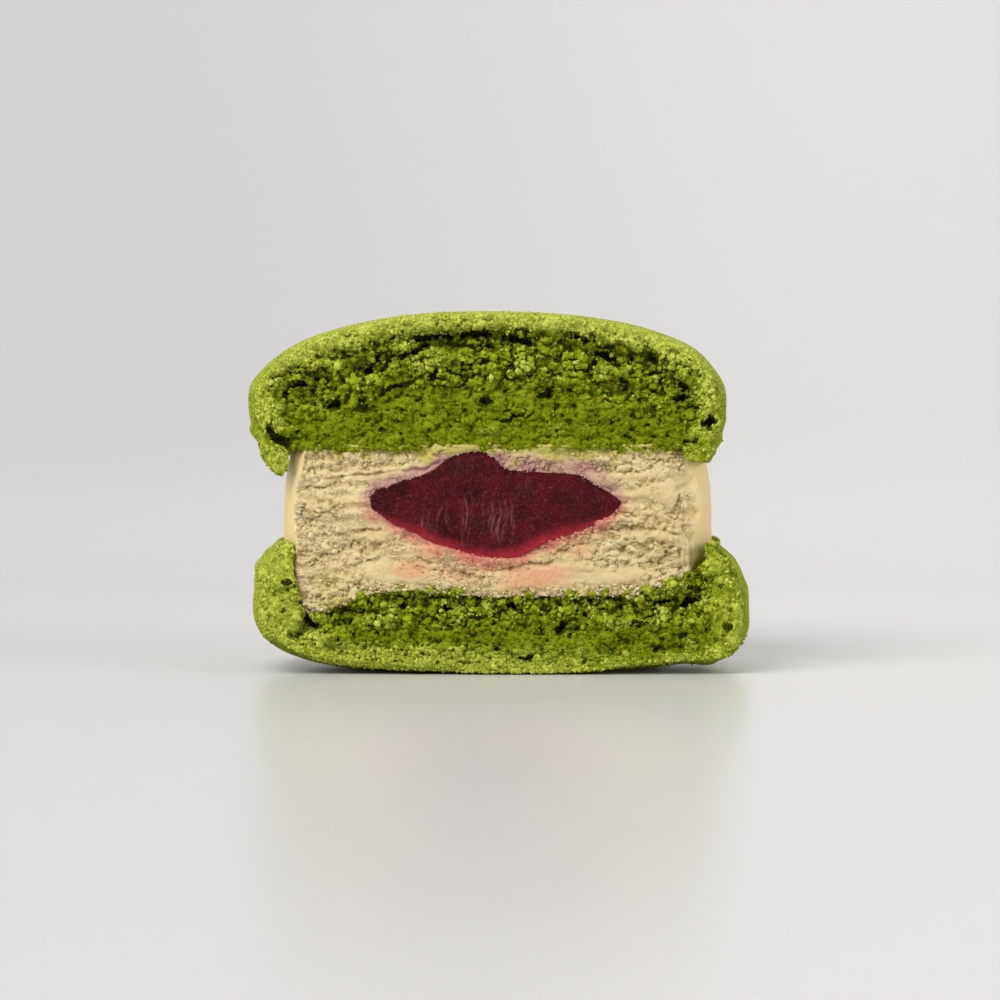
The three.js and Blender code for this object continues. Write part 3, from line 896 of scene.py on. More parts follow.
@dataclass
class Biscuit:
    """One almond biscuit, spun as a solid, cut, and given its crumb.

    The crumb is made in layers: hollows are taken out, the skin is meshed afresh, and lumps and grains are
    raised on everything that the knife laid open.
    """

    name: str
    centre_x: float
    radius: float
    belly: float
    crown_power: float
    seed: int
    foot: Corners
    hollows: tuple[Patch, ...]
    recesses: tuple[Patch, ...]
    heaps: tuple[Patch, ...]
    lobes: tuple[Patch, ...]
    balls: tuple[Patch, ...]
    pore_count: int = 90
    pore_voxel: float = 0.16
    relief: tuple[Layer, ...] = (
        Layer("CLOUDS", 0.9, 0.8, "core", octaves=5),
        Layer("VORONOI", 1.1, -0.34, "popped"),
        Layer("VORONOI", 0.7, -0.25, "crumb"),
        Layer("VORONOI", 0.34, -0.2, "grainy"),
    )
    ragged: tuple[Layer, ...] = (Layer("CLOUDS", 0.9, 1.4, "", octaves=3), Layer("VORONOI", 0.7, 0.5, ""))
    crust: float = 1.9
    voxel: float = 0.125
    turns: int = 160
    triangle_limit: int = 190_000
    small_grains: int = 5200
    seam_grains: int = 420
    large_grains: int = 950
    fine_grains: int = 9000
    finish: BiscuitFinish = field(default_factory=BiscuitFinish)

    def outline(self) -> list[tuple[float, float]]:
        """Radius and height of the outline's corners, from the axis round to the axis."""
        raise NotImplementedError

    def unevenness(self, points: np.ndarray) -> np.ndarray:
        """Moves the spun solid's points to their uneven places."""
        raise NotImplementedError

    def inside(self, points: np.ndarray) -> np.ndarray:
        """How far each point lies under the outer skin."""
        raise NotImplementedError

    def from_axis(self, points: np.ndarray) -> np.ndarray:
        """Each point's distance from the biscuit's own axis."""
        return np.hypot(points[:, 0] - self.centre_x, points[:, 1] - AXIS_Y)

    def foot_radius(self, heights: np.ndarray) -> np.ndarray:
        """The foot's outer radius at each height."""
        corners = sorted((z, self.radius - inset) for inset, z in self.foot)
        return np.interp(heights, *zip(*corners))

    def blank(self) -> bpy.types.Object:
        """The cut biscuit before its crumb is made."""
        piece = spun(f"{self.name}_biscuit", self.outline(), self.turns)
        move_points(piece, self.unevenness(points_of(piece)))
        knife(piece)
        return piece

    def scattered(self, rng: np.random.Generator) -> list[Patch]:
        """Small pores all over the cut crumb, at seeded places."""
        low, high = self.face_heights()
        pores = []
        while len(pores) < self.pore_count:
            x = self.centre_x + rng.uniform(-1, 1) * self.radius
            z = rng.uniform(low, high)
            if self.inside(np.array([[x, CUT_Y, z]]))[0] < self.crust * rng.uniform(0.5, 1.2):
                continue
            size = 0.2 + 0.32 * rng.random() ** 3
            wide = size * rng.uniform(1.0, 1.7)
            pores.append(Patch(x, z, wide, size, size * rng.uniform(1.0, 2.2), rng.uniform(-40, 40)))
        return pores

    def face_heights(self) -> tuple[float, float]:
        """Lowest and highest place of the crumb in the cut."""
        raise NotImplementedError

    def bore(self, piece: bpy.types.Object) -> None:
        """Takes the hollows and pores out of the solid.

        Args:
            piece: the cut biscuit, which is changed.
        """
        rng = np.random.default_rng(self.seed)
        hollows = [*self.hollows, *self.scattered(rng)]
        centres = np.array([(h.x, CUT_Y + 0.25 * h.depth, h.z) for h in hollows])
        radii = np.array([(h.half_width, h.depth * 0.55, h.half_height) for h in hollows])
        tilts = np.radians([h.tilt for h in hollows])
        tool = lumps_mesh(f"{self.name}_hollows", centres, radii, tilts, detail=3)
        modify(tool, "REMESH", mode="VOXEL", voxel_size=self.pore_voxel)
        roughen(tool, self.ragged)
        modify(tool, "REMESH", mode="VOXEL", voxel_size=self.pore_voxel)
        modify(piece, "BOOLEAN", operation="DIFFERENCE", solver="MANIFOLD", object=tool)
        bpy.data.objects.remove(tool)

    def looseness(self, points: np.ndarray) -> np.ndarray:
        """How open the crumb is at each point, from dense at 0 to loose at 1."""
        raise NotImplementedError

    def raise_crumb(self, piece: bpy.types.Object) -> None:
        """Meshes the skin afresh and raises lumps, cracks and grains on what the knife laid open.

        Args:
            piece: the cut and bored biscuit, which is changed.
        """
        modify(piece, "REMESH", mode="VOXEL", voxel_size=self.voxel)
        points = points_of(piece)
        behind = points[:, 1] - CUT_Y
        under = self.inside(points)
        opened = 1 - ramp(behind, 3.0, 5.0)
        whole = presence(self.lobes, points)
        crumb = opened * ramp(under, 0.15, 0.9) * (1 - 0.4 * whole)
        core = opened * ramp(under, 0.8, 2.0) * (1 - whole)
        loose = self.looseness(points)
        rim = (1 - ramp(behind, 0.2, 2.2)) * (1 - ramp(under, 0.3, 1.0))
        lumpy = np.flatnonzero(core > 0)
        for size, gap, step, seed in CRUMB_LUMPS:
            border, lump = cells(points[lumpy], size, self.seed + seed)
            back = gap * (1 - ramp(border, 0.02, 0.3)) + step * (lump - 0.5)
            points[lumpy, 1] += core[lumpy] * (0.35 + 0.65 * loose[lumpy]) * back
        cut = np.flatnonzero(crumb > 0)
        pits = ramp(noise(points[cut], (0.7, 0.7, 0.5), self.seed + 14), 0.3, 0.65)
        points[cut, 1] += crumb[cut] * 0.45 * pits
        uneven = noise(points[cut], (1.7, 1.7, 1.3), self.seed + 17)
        points[cut, 1] += whole[cut] * opened[cut] * 0.45 * uneven
        points[:, 1] += core * presence(self.recesses, points) + self.chamfer(points)
        points[:, 1] -= opened * (0.7 * whole + 0.4 * presence(self.heaps, points, 0.6))
        move_points(piece, points)
        weigh(piece, "core", core * (0.35 + 0.65 * loose))
        weigh(piece, "popped", core * loose)
        weigh(piece, "crumb", crumb)
        weigh(piece, "grainy", np.maximum(np.maximum(crumb, rim * 0.8), 0.3))
        roughen(piece, self.relief)
        points = points_of(piece)
        points[:, 2] = np.maximum(points[:, 2] + self.lifted(points), 0.0)
        move_points(piece, points)

    def thin(self, piece: bpy.types.Object) -> None:
        """Takes triangles out of the plain skin until the piece is light enough."""
        plain = ramp(points_of(piece)[:, 1] - CUT_Y, 2.5, 5.0)
        thinned(piece, plain, self.triangle_limit)
        kept = points_of(piece)[:, 1] - CUT_Y
        log.info("%s: %d of %d points are at the cut", piece.name, (kept < 3).sum(), len(kept))

    def crust_depth(self, points: np.ndarray) -> np.ndarray:
        """How deep the pale crust reaches under the skin at each point."""
        return self.crust + 0.6 * noise(points, (1.3, 1.3, 0.9), self.seed + 8)

    def note_fields(self, piece: bpy.types.Object) -> None:
        """Stores what the finish reads: crust, skin, painted shade as depth, relief, paleness, density and
        tone.

        Args:
            piece: the biscuit, whose mesh gets the attributes.
        """
        points = points_of(piece)
        behind = points[:, 1] - CUT_Y
        under = self.inside(points)
        opened = 1 - ramp(behind, 3.5, 5.0)
        whole = presence(self.lobes, points)
        reach = self.crust_depth(points)
        crust = np.maximum(1 - ramp(under, reach - 0.5, reach + 0.4) * opened, 0.65 * whole)
        record_field(piece, "crust", crust * (1 - ramp(behind, 0.7, 2.4) * ramp(under, 0.4, 0.9) * opened))
        skin = np.maximum(1 - ramp(under, 0.2, 0.5), ramp(behind, 4.0, 6.0))
        record_field(piece, "outer", ramp(behind, 0.25, 1.1) * skin)
        # Painted shade: crumb deep behind the cut, in its hollows, and the underside below the left edge are
        # darkened through the depth field.
        recess_shade = 0.8 * ramp(behind, 1.0, 3.2) * ramp(under, 0.5, 1.2) * opened
        record_field(piece, "depth", np.maximum(recess_shade, self.underside_shade(points)))
        record_field(piece, "relief", relief_of(piece, 5) * opened)
        pale = 0.3 * presence(self.heaps, points, 0.6) + 0.6 * self.bleached(points)
        record_field(piece, "pale", np.minimum(pale, 1.0) * opened)
        record_field(piece, "dense", 1 - self.looseness(points))
        lumps = 0.3 * noise(points, (1.2, 1.2, 0.8), self.seed + 13)
        record_field(piece, "tone", 0.5 + 0.45 * noise(points, 0.45, self.seed + 9) + lumps)

    def grit(self, piece: bpy.types.Object, seed: int) -> Grit:
        """Grains that take this biscuit's own tints."""
        grit = Grit(piece, self.seed + seed, ("crust", "outer", "depth", "relief", "pale", "dense"))
        # Grains are counted a little raised, so they take less of the painted shade in hollows.
        grit.values["relief"] = np.maximum(grit.values["relief"] + 0.1, 0.0)
        return grit

    def strew(self, piece: bpy.types.Object, material: bpy.types.Material) -> bpy.types.Object:
        """Makes the crumbs that cling to the cut.

        Args:
            piece: the biscuit that they lie on.
            material: its finish, which they share.

        Returns:
            All the crumbs as one finished piece.
        """
        grit = self.grit(piece, 50)
        points = grit.points
        behind = points[:, 1] - CUT_Y
        heaps = presence(self.heaps, points, 0.6)
        face = (1 - ramp(behind, 1.4, 2.6)) * ramp(self.inside(points), 0.05, 0.2)
        face = face * (grit.normals[:, 1] < 0.35) * (1 - self.undisturbed(points))
        clumps = ramp(noise(points, (1.5, 1.5, 0.8), self.seed + 10), -0.5, 0.5)
        loose = self.looseness(points)
        grit.values["pale"] = grit.values["pale"] + 0.45 * heaps * grit.rng.random(len(heaps))
        thick = 0.4 + clumps * (0.7 + 0.6 * loose) + 3 * heaps
        grit.add(face * thick, self.small_grains, (0.09, 0.22), 0.6)
        grit.add(face * (0.2 + loose * clumps**2 + 3 * heaps), self.large_grains, (0.16, 0.34), 0.6, 2)
        grit.add(self.seam(points) * (grit.normals[:, 1] < 0.5), self.seam_grains, (0.09, 0.26), 1.2, 1)
        for ball in self.balls:
            grit.add(close_to(ball, points, 0.02) * face, 1, (ball.half_width, ball.half_width), 0.3, 3)
        return finished(grit.piece(f"{self.name}_crumbs"), material)

    def strew_fines(self, piece: bpy.types.Object, material: bpy.types.Material) -> bpy.types.Object:
        """Makes the fine grains that the crust and the rim shed, over the whole cut and round its edge.

        Args:
            piece: the biscuit that they lie on.
            material: its finish, which they share.

        Returns:
            All the grains as one finished piece.
        """
        grit = self.grit(piece, 60)
        points = grit.points
        behind = points[:, 1] - CUT_Y
        under = self.inside(points)
        face = (1 - ramp(behind, 1.2, 4.5)) * (grit.normals[:, 1] < 0.3) * (1 - self.undisturbed(points))
        edge = 1 - ramp(under, self.crust * 0.8, self.crust * 1.6)
        clumps = ramp(noise(points, (0.9, 0.9, 0.6), self.seed + 12), -0.4, 0.4)
        grit.add(face * (0.45 + edge) * (0.25 + clumps), self.fine_grains, (0.07, 0.17), 0.6)
        return finished(grit.piece(f"{self.name}_fines"), material)

    def undisturbed(self, points: np.ndarray) -> np.ndarray:
        """How clear of crumbs each point stays: nowhere, unless a biscuit says otherwise."""
        return np.zeros(len(points))

    def seam(self, points: np.ndarray) -> np.ndarray:
        """Where crumbs lie over the joint with the cream."""
        raise NotImplementedError

    def bleached(self, points: np.ndarray) -> np.ndarray:
        """How pale the crust is at each point: nowhere, unless a biscuit says otherwise."""
        return np.zeros(len(points))

    def chamfer(self, points: np.ndarray) -> np.ndarray:
        """How far the cut's edge stands back from the cut: nowhere, unless a biscuit says otherwise."""
        return np.zeros(len(points))

    def lifted(self, points: np.ndarray) -> np.ndarray:
        """How far the knife drew the lower edge up: nowhere, unless a biscuit says otherwise."""
        return np.zeros(len(points))

    def underside_shade(self, points: np.ndarray) -> np.ndarray:
        """How much painted shade darkens the underside at each point: nowhere, unless a biscuit says
        otherwise.
        """
        return np.zeros(len(points))

    def build(self) -> list[bpy.types.Object]:
        """Makes the finished biscuit and its grains."""
        piece = self.blank()
        self.bore(piece)
        self.raise_crumb(piece)
        self.thin(piece)
        self.note_fields(piece)
        material = self.finish.material()
        grains = [self.strew(piece, material), self.strew_fines(piece, material)]
        return [finished(piece, material, self.name), *grains]


def ruffle(points: np.ndarray, angle: np.ndarray, seed: int) -> tuple[np.ndarray, np.ndarray]:
    """Ruffles a biscuit's foot.

    Args:
        points: places in millimetres, about a centred axis.
        angle: each point's angle about that axis, in radians.
        seed: picks one ruffle of many.

    Returns:
        How far the foot stands out, and how far its hem goes up, at each point.
    """
    wave = 6.2
    ring = np.stack([np.cos(angle) * wave, np.sin(angle) * wave, points[:, 2] * 0.9], axis=1)
    hem_ring = ring * (1.4, 1.4, 0.0)
    return noise(ring, 1.0, seed) * 0.6, noise(hem_ring, 1.0, seed + 1) * 0.6


# Where the cream was pressed into the base near the cut: how far down, at which X, and how wide.
PRESSED = ((1.6, -18.6, 4.2), (-0.75, -9.5, 4.5), (-1.8, 20.0, 5.0))
PRESSED_REACH = 6.3  # how far behind the cut it fades
PRESSED_HEIGHTS = (9.0, 12.5)  # between these the wall follows less and less


def pressed(points: np.ndarray) -> np.ndarray:
    """How far down the cream and the dish under it were pressed.

    Args:
        points: places in millimetres, about a centred axis.

    Returns:
        A depth in millimetres for each point.
    """
    down = sum(depth * np.exp(-(((points[:, 0] - x) / width) ** 2)) for depth, x, width in PRESSED)
    near = np.exp(-(((points[:, 1] + AXIS_Y - CUT_Y) / PRESSED_REACH) ** 2))
    return down * near * (1 - ramp(points[:, 2], *PRESSED_HEIGHTS))


@dataclass
class Lid(Biscuit):
    """The upper biscuit: a low dome with a ruffled foot that hangs round the cream."""

    name: str = "lid"
    centre_x: float = -1.2
    radius: float = 24.4
    belly: float = 27.4
    crown_power: float = 2.4
    seed: int = 11
    foot: Corners = (
        (0.05, 26.2), (0.2, 25.2), (0.5, 24.1), (0.95, 23.0), (1.7, 22.0), (2.3, 21.4),
    )
    hollows: tuple[Patch, ...] = LID_HOLLOWS
    recesses: tuple[Patch, ...] = LID_RECESSES
    heaps: tuple[Patch, ...] = LID_HEAPS
    lobes: tuple[Patch, ...] = LID_LOBES
    balls: tuple[Patch, ...] = LID_BALLS
    underside: float = 22.7
    hem: float = 21.4
    hem_inner: float = 21.2
    foot_top: float = 25.2
    shoulder_drop: float = 0.75
    flap_drop: float = 1.6

    def lean(self, points: np.ndarray) -> np.ndarray:
        """How far the dome stands to the left of an even dome, and its right shoulder inside it."""
        x, z = points[:, 0], points[:, 2]
        return 0.5 * ramp(z, 31.5, 34.5) + 0.45 * np.exp(-(((z - 31.0) / 1.7) ** 2)) * ramp(x, 4, 18)

    def outline(self) -> list[tuple[float, float]]:
        """Radius and height of the outline's corners."""
        dome = dome_arc(0, self.radius, HEIGHT, self.belly, self.crown_power, 40)
        foot = smooth_path([dome[-1], *((self.radius - inset, z) for inset, z in self.foot)], 4)
        inner = [(self.hem_inner, self.hem + 0.3), (self.hem_inner - 0.1, self.underside)]
        return [*dome[:-1], *foot, *inner, *((radius, self.underside) for radius in (16.0, 8.0, 0.0))]

    def unevenness(self, points: np.ndarray) -> np.ndarray:
        """Ruffles the foot, hangs its flap and swells the dome a little.

        Args:
            points: the spun solid's points, about a centred axis.

        Returns:
            The points at their places in the frame.
        """
        radius = np.hypot(points[:, 0], points[:, 1])
        angle = np.arctan2(points[:, 1], points[:, 0])
        on_foot = 1 - ramp(points[:, 2], self.foot_top - 0.4, self.foot_top + 1)
        outside = ramp(radius, self.hem_inner + 0.2, self.hem_inner + 1)
        out, hem = ruffle(points, angle, self.seed)
        swell = noise(points, 9.0, self.seed + 5) * 0.2
        out += 0.2 * ramp(points[:, 0], 8, 20)
        out -= 0.5 * ramp(-points[:, 0], 12, 20) * (1 - ramp(points[:, 2], 21.6, 23.6))
        stretch = 1 + outside * (on_foot * out + swell) / np.maximum(radius, 1e-6)
        moved = points * np.stack([stretch, stretch, np.ones(len(points))], axis=1)
        left_of_cut = -math.pi + math.asin(CUT_OFFSET / self.radius)
        away = np.abs(np.mod(angle - left_of_cut + math.pi, 2 * math.pi) - math.pi)
        flap = self.flap_drop * (1 - ramp(away, 0, 0.35))
        hanging = outside * (1 - ramp(points[:, 2], self.underside - 0.9, self.foot_top))
        moved[:, 2] += hanging * (hem * 0.5 - flap)
        moved[:, 2] -= self.dropped(points[:, 0], points[:, 2])
        moved[:, 0] += self.centre_x - self.lean(moved)
        moved[:, 1] += AXIS_Y
        return moved

    def dropped(self, x: np.ndarray, z: np.ndarray) -> np.ndarray:
        """How far the dome's left shoulder has sunk, at X from the axis and at a height."""
        return self.shoulder_drop * ramp(-x, 2, 24) * ramp(z, self.belly, self.belly + 4)

    def inside(self, points: np.ndarray) -> np.ndarray:
        """How far each point lies under the dome and the foot."""
        x = points[:, 0] + self.lean(points) - self.centre_x
        z = points[:, 2] + self.dropped(x, points[:, 2])
        radius = np.hypot(x, points[:, 1] - AXIS_Y)
        height = np.clip((z - self.belly) / (HEIGHT - self.belly), 0, 1)
        ring = self.radius * (1 - height**self.crown_power) ** (1 / self.crown_power)
        ring = np.where(points[:, 2] < self.belly, self.foot_radius(points[:, 2]), ring)
        reach = np.clip(radius / self.radius, 0, 1)
        crown = self.belly + (HEIGHT - self.belly) * (1 - reach**self.crown_power) ** (1 / self.crown_power)
        return np.minimum(ring - radius, np.where(points[:, 2] < self.belly, 99.0, crown - z))

    def seam(self, points: np.ndarray) -> np.ndarray:
        """Where crumbs lie over the joint with the cream."""
        clumps = ramp(noise(points, (1.2, 9.0, 9.0), self.seed + 15), -0.2, 0.4)
        return (np.abs(points[:, 2] - self.underside) < 0.2) * (points[:, 1] - CUT_Y < 0.5) * (0.05 + clumps)

    def crust_depth(self, points: np.ndarray) -> np.ndarray:
        """How deep the pale crust reaches: less under the left shoulder."""
        return super().crust_depth(points) - 0.35 * ramp(points[:, 0], -3.0, -12.0)

    def bleached(self, points: np.ndarray) -> np.ndarray:
        """How pale the crust is: more along the top of the dome."""
        return ramp(points[:, 2], 28.0, 33.0) * (1 - ramp(self.inside(points), 1.0, 2.0))

    def face_heights(self) -> tuple[float, float]:
        """Lowest and highest place of the crumb in the cut."""
        return self.underside + 0.4, HEIGHT - 1.0

    def looseness(self, points: np.ndarray) -> np.ndarray:
        """How open the crumb is: loose under the dome, dense towards the cream."""
        x, z = points[:, 0], points[:, 2]
        open_above = 25.2 + 2.2 * ramp(np.abs(x + 2.0), 18.0, 8.0)
        patchy = 0.6 * noise(points * (1, 0, 1), (4.0, 9.0, 2.0), self.seed + 11)
        return ramp(z + 1.4 * patchy, open_above, open_above + 2.6)


@dataclass
class Base(Biscuit):
    """The lower biscuit, domed side down, with a ruffled rim that stands up round the cream."""

    name: str = "base"
    centre_x: float = 0.0
    radius: float = BASE_RADIUS
    belly: float = 6.8
    crown_power: float = 2.5
    seed: int = 23
    foot: Corners = ((0.15, 8.4), (0.55, 9.6), (0.65, 10.8), (1.2, 12.1), (2.7, 13.3))
    hollows: tuple[Patch, ...] = BASE_HOLLOWS
    recesses: tuple[Patch, ...] = BASE_RECESSES
    heaps: tuple[Patch, ...] = BASE_HEAPS
    lobes: tuple[Patch, ...] = BASE_LOBES
    balls: tuple[Patch, ...] = BASE_BALLS
    rest_radius: float = 9.0
    sag: float = 1.2
    sag_x: float = 21.8
    dish: float = 8.3
    foot_low: float = 9.6
    foot_top: float = 13.3
    wall: float = 22.1

    def outline(self) -> list[tuple[float, float]]:
        """Radius and height of the outline's corners."""
        dome = dome_arc(self.rest_radius, self.radius, 0, self.belly, self.crown_power, 36)
        foot = smooth_path([dome[-1], *((self.radius - inset, z) for inset, z in self.foot)], 4)
        inner = [(self.wall, self.foot_top - 0.2), (self.wall, 11.0), (self.wall - 0.9, self.dish + 0.5)]
        floor = ((radius, self.dish) for radius in (19.8, 14.0, 8.0, 0.0))
        return [(0.0, 0.0), (6.0, 0.0), *dome[:-1], *foot, *inner, *floor]

    def unevenness(self, points: np.ndarray) -> np.ndarray:
        """Ruffles the rim, swells the dome a little and lets its right side sag.

        Args:
            points: the spun solid's points, about a centred axis.

        Returns:
            The points at their places in the frame.
        """
        radius = np.hypot(points[:, 0], points[:, 1])
        angle = np.arctan2(points[:, 1], points[:, 0])
        x, z = points[:, 0], points[:, 2]
        on_rim = ramp(z, self.foot_low - 1.2, self.foot_low + 0.4)
        outside = ramp(radius, self.wall + 0.3, self.wall + 1.3)
        out, hem = ruffle(points, angle, self.seed)
        swell = noise(points, 9.0, self.seed + 5) * 0.2 * ramp(z, 0.5, 5)
        corner = 0.8 * (1 - ramp(z, 3.2, 6.5)) + 0.8 * (1 - ramp(z, 1.0, 3.0)) - 0.9 * ramp(z, 9.8, 12.5)
        corner *= ramp(x, 8, 20)
        corner += 0.45 * ramp(x, -12, -20) * ramp(z, 8.4, 9.4) * (1 - ramp(z, 10.4, 11.6))
        stretch = 1 + outside * (on_rim * (out * 0.8 - 0.15) + swell + corner) / np.maximum(radius, 1e-6)
        moved = points * np.stack([stretch, stretch, np.ones(len(points))], axis=1)
        sag = self.sag * np.exp(-(((x - self.sag_x) / 2.2) ** 2)) * (1 - ramp(z, 1.5, 6))
        hem -= 0.45 * ramp(x, 14, 20) * ramp(points[:, 1], 4, -4)
        moved[:, 2] += ramp(z, self.foot_top - 2.4, self.foot_top) * outside * hem - sag
        in_dish = (z > self.dish - 0.5) & (radius < self.wall + 0.2)
        moved[:, 2] -= np.where(in_dish, pressed(points), 0.0)
        moved[:, 0] += self.centre_x
        moved[:, 1] += AXIS_Y
        return moved

    def inside(self, points: np.ndarray) -> np.ndarray:
        """How far each point lies under the outer skin."""
        radius = self.from_axis(points)
        drop = np.clip((self.belly - points[:, 2]) / self.belly, 0, 1)
        span = self.radius - self.rest_radius
        ring = self.rest_radius + span * (1 - drop**self.crown_power) ** (1 / self.crown_power)
        ring = np.where(points[:, 2] > self.belly, self.foot_radius(points[:, 2]), ring)
        reach = np.clip((radius - self.rest_radius) / span, 0, 1)
        skin = self.belly * (1 - (1 - reach**self.crown_power) ** (1 / self.crown_power))
        return np.minimum(ring - radius, np.where(points[:, 2] > self.belly, 99.0, points[:, 2] - skin))

    def face_heights(self) -> tuple[float, float]:
        """Lowest and highest place of the crumb in the cut."""
        return 0.8, 12.5

    def looseness(self, points: np.ndarray) -> np.ndarray:
        """How open the crumb is: loose towards the cream, dense below."""
        patchy = 0.7 * noise(points * (1, 0, 1), (4.0, 9.0, 2.0), self.seed + 11)
        return ramp(points[:, 2] + 1.2 * patchy, 3.6, 6.0)

    def floor(self, points: np.ndarray) -> np.ndarray:
        """Height of the dish under the cream at each point."""
        return self.dish - pressed(points - (self.centre_x, AXIS_Y, 0.0))

    def seam(self, points: np.ndarray) -> np.ndarray:
        """Where crumbs lie over the joint with the cream."""
        clumps = ramp(noise(points, (1.2, 9.0, 9.0), self.seed + 15), -0.2, 0.4)
        across = np.abs(points[:, 0]) < self.wall - 3.0
        joint = (np.abs(points[:, 2] - self.floor(points)) < 0.25) * (points[:, 1] - CUT_Y < 0.5)
        return joint * across * (0.05 + clumps)

    def undisturbed(self, points: np.ndarray) -> np.ndarray:
        """The dish under the cream, and the smooth underside that curves up on the left."""
        dish = (points[:, 2] > self.floor(points) - 0.05) & (np.abs(points[:, 0]) < self.wall - 2.2)
        clear = np.maximum(dish, self.lens(points) * ramp(self.inside(points), 0.45, 0.2))
        return np.maximum(clear, 0.75 * presence(self.lobes, points))

    def lens(self, points: np.ndarray) -> np.ndarray:
        """Where the smooth underside shows below the cut: along the left of its lower edge."""
        return ramp(points[:, 0], -2.0, -7.0) * ramp(points[:, 2], 4.0, 3.0)

    def chamfer(self, points: np.ndarray) -> np.ndarray:
        """How far the cut's lower edge stands back from the cut."""
        near = 1 - ramp(points[:, 1] - CUT_Y, 0.5, 3.0)
        return 0.55 * self.lens(points) * ramp(self.inside(points), 0.5, 0.1) * near

    def lifted(self, points: np.ndarray) -> np.ndarray:
        """How far the knife drew the lower edge up, so that it hangs a little over the floor."""
        x, behind, z = points[:, 0], points[:, 1] - CUT_Y, points[:, 2]
        gap = 0.28 + 0.35 * ramp(x, 0.0, -14.0) + 0.4 * ramp(x, 5.0, 14.0)
        gap += 0.08 * noise(points * (1, 0, 0), 3.0, self.seed + 16)
        return gap * (1 - ramp(behind, 0.4, 5.0)) * (1 - ramp(z, 0.3, 2.6))

    def underside_shade(self, points: np.ndarray) -> np.ndarray:
        """How much painted shade darkens the smooth underside at each point, along the left of the cut's
        lower edge.
        """
        return 0.75 * self.lens(points) * ramp(self.inside(points), 0.55, 0.35)

    def crust_depth(self, points: np.ndarray) -> np.ndarray:
        """How deep the pale crust reaches: more under the left of the cut."""
        thick = 1.3 * ramp(points[:, 0], 4.0, -6.0) * ramp(points[:, 2], 6.0, 3.0)
        thin = 0.8 * ramp(points[:, 0], 15.0, 20.0)
        return super().crust_depth(points) - 0.3 + thick - thin

    def bleached(self, points: np.ndarray) -> np.ndarray:
        """How pale the crust is: more along the bottom and up the left rim."""
        x, z = points[:, 0], points[:, 2]
        return 0.5 * ramp(x, 12.0, 2.0) * np.maximum(ramp(z, 3.4, 2.0), ramp(x, -16.0, -19.0))


# ---------------------------------------------------------------- the filling


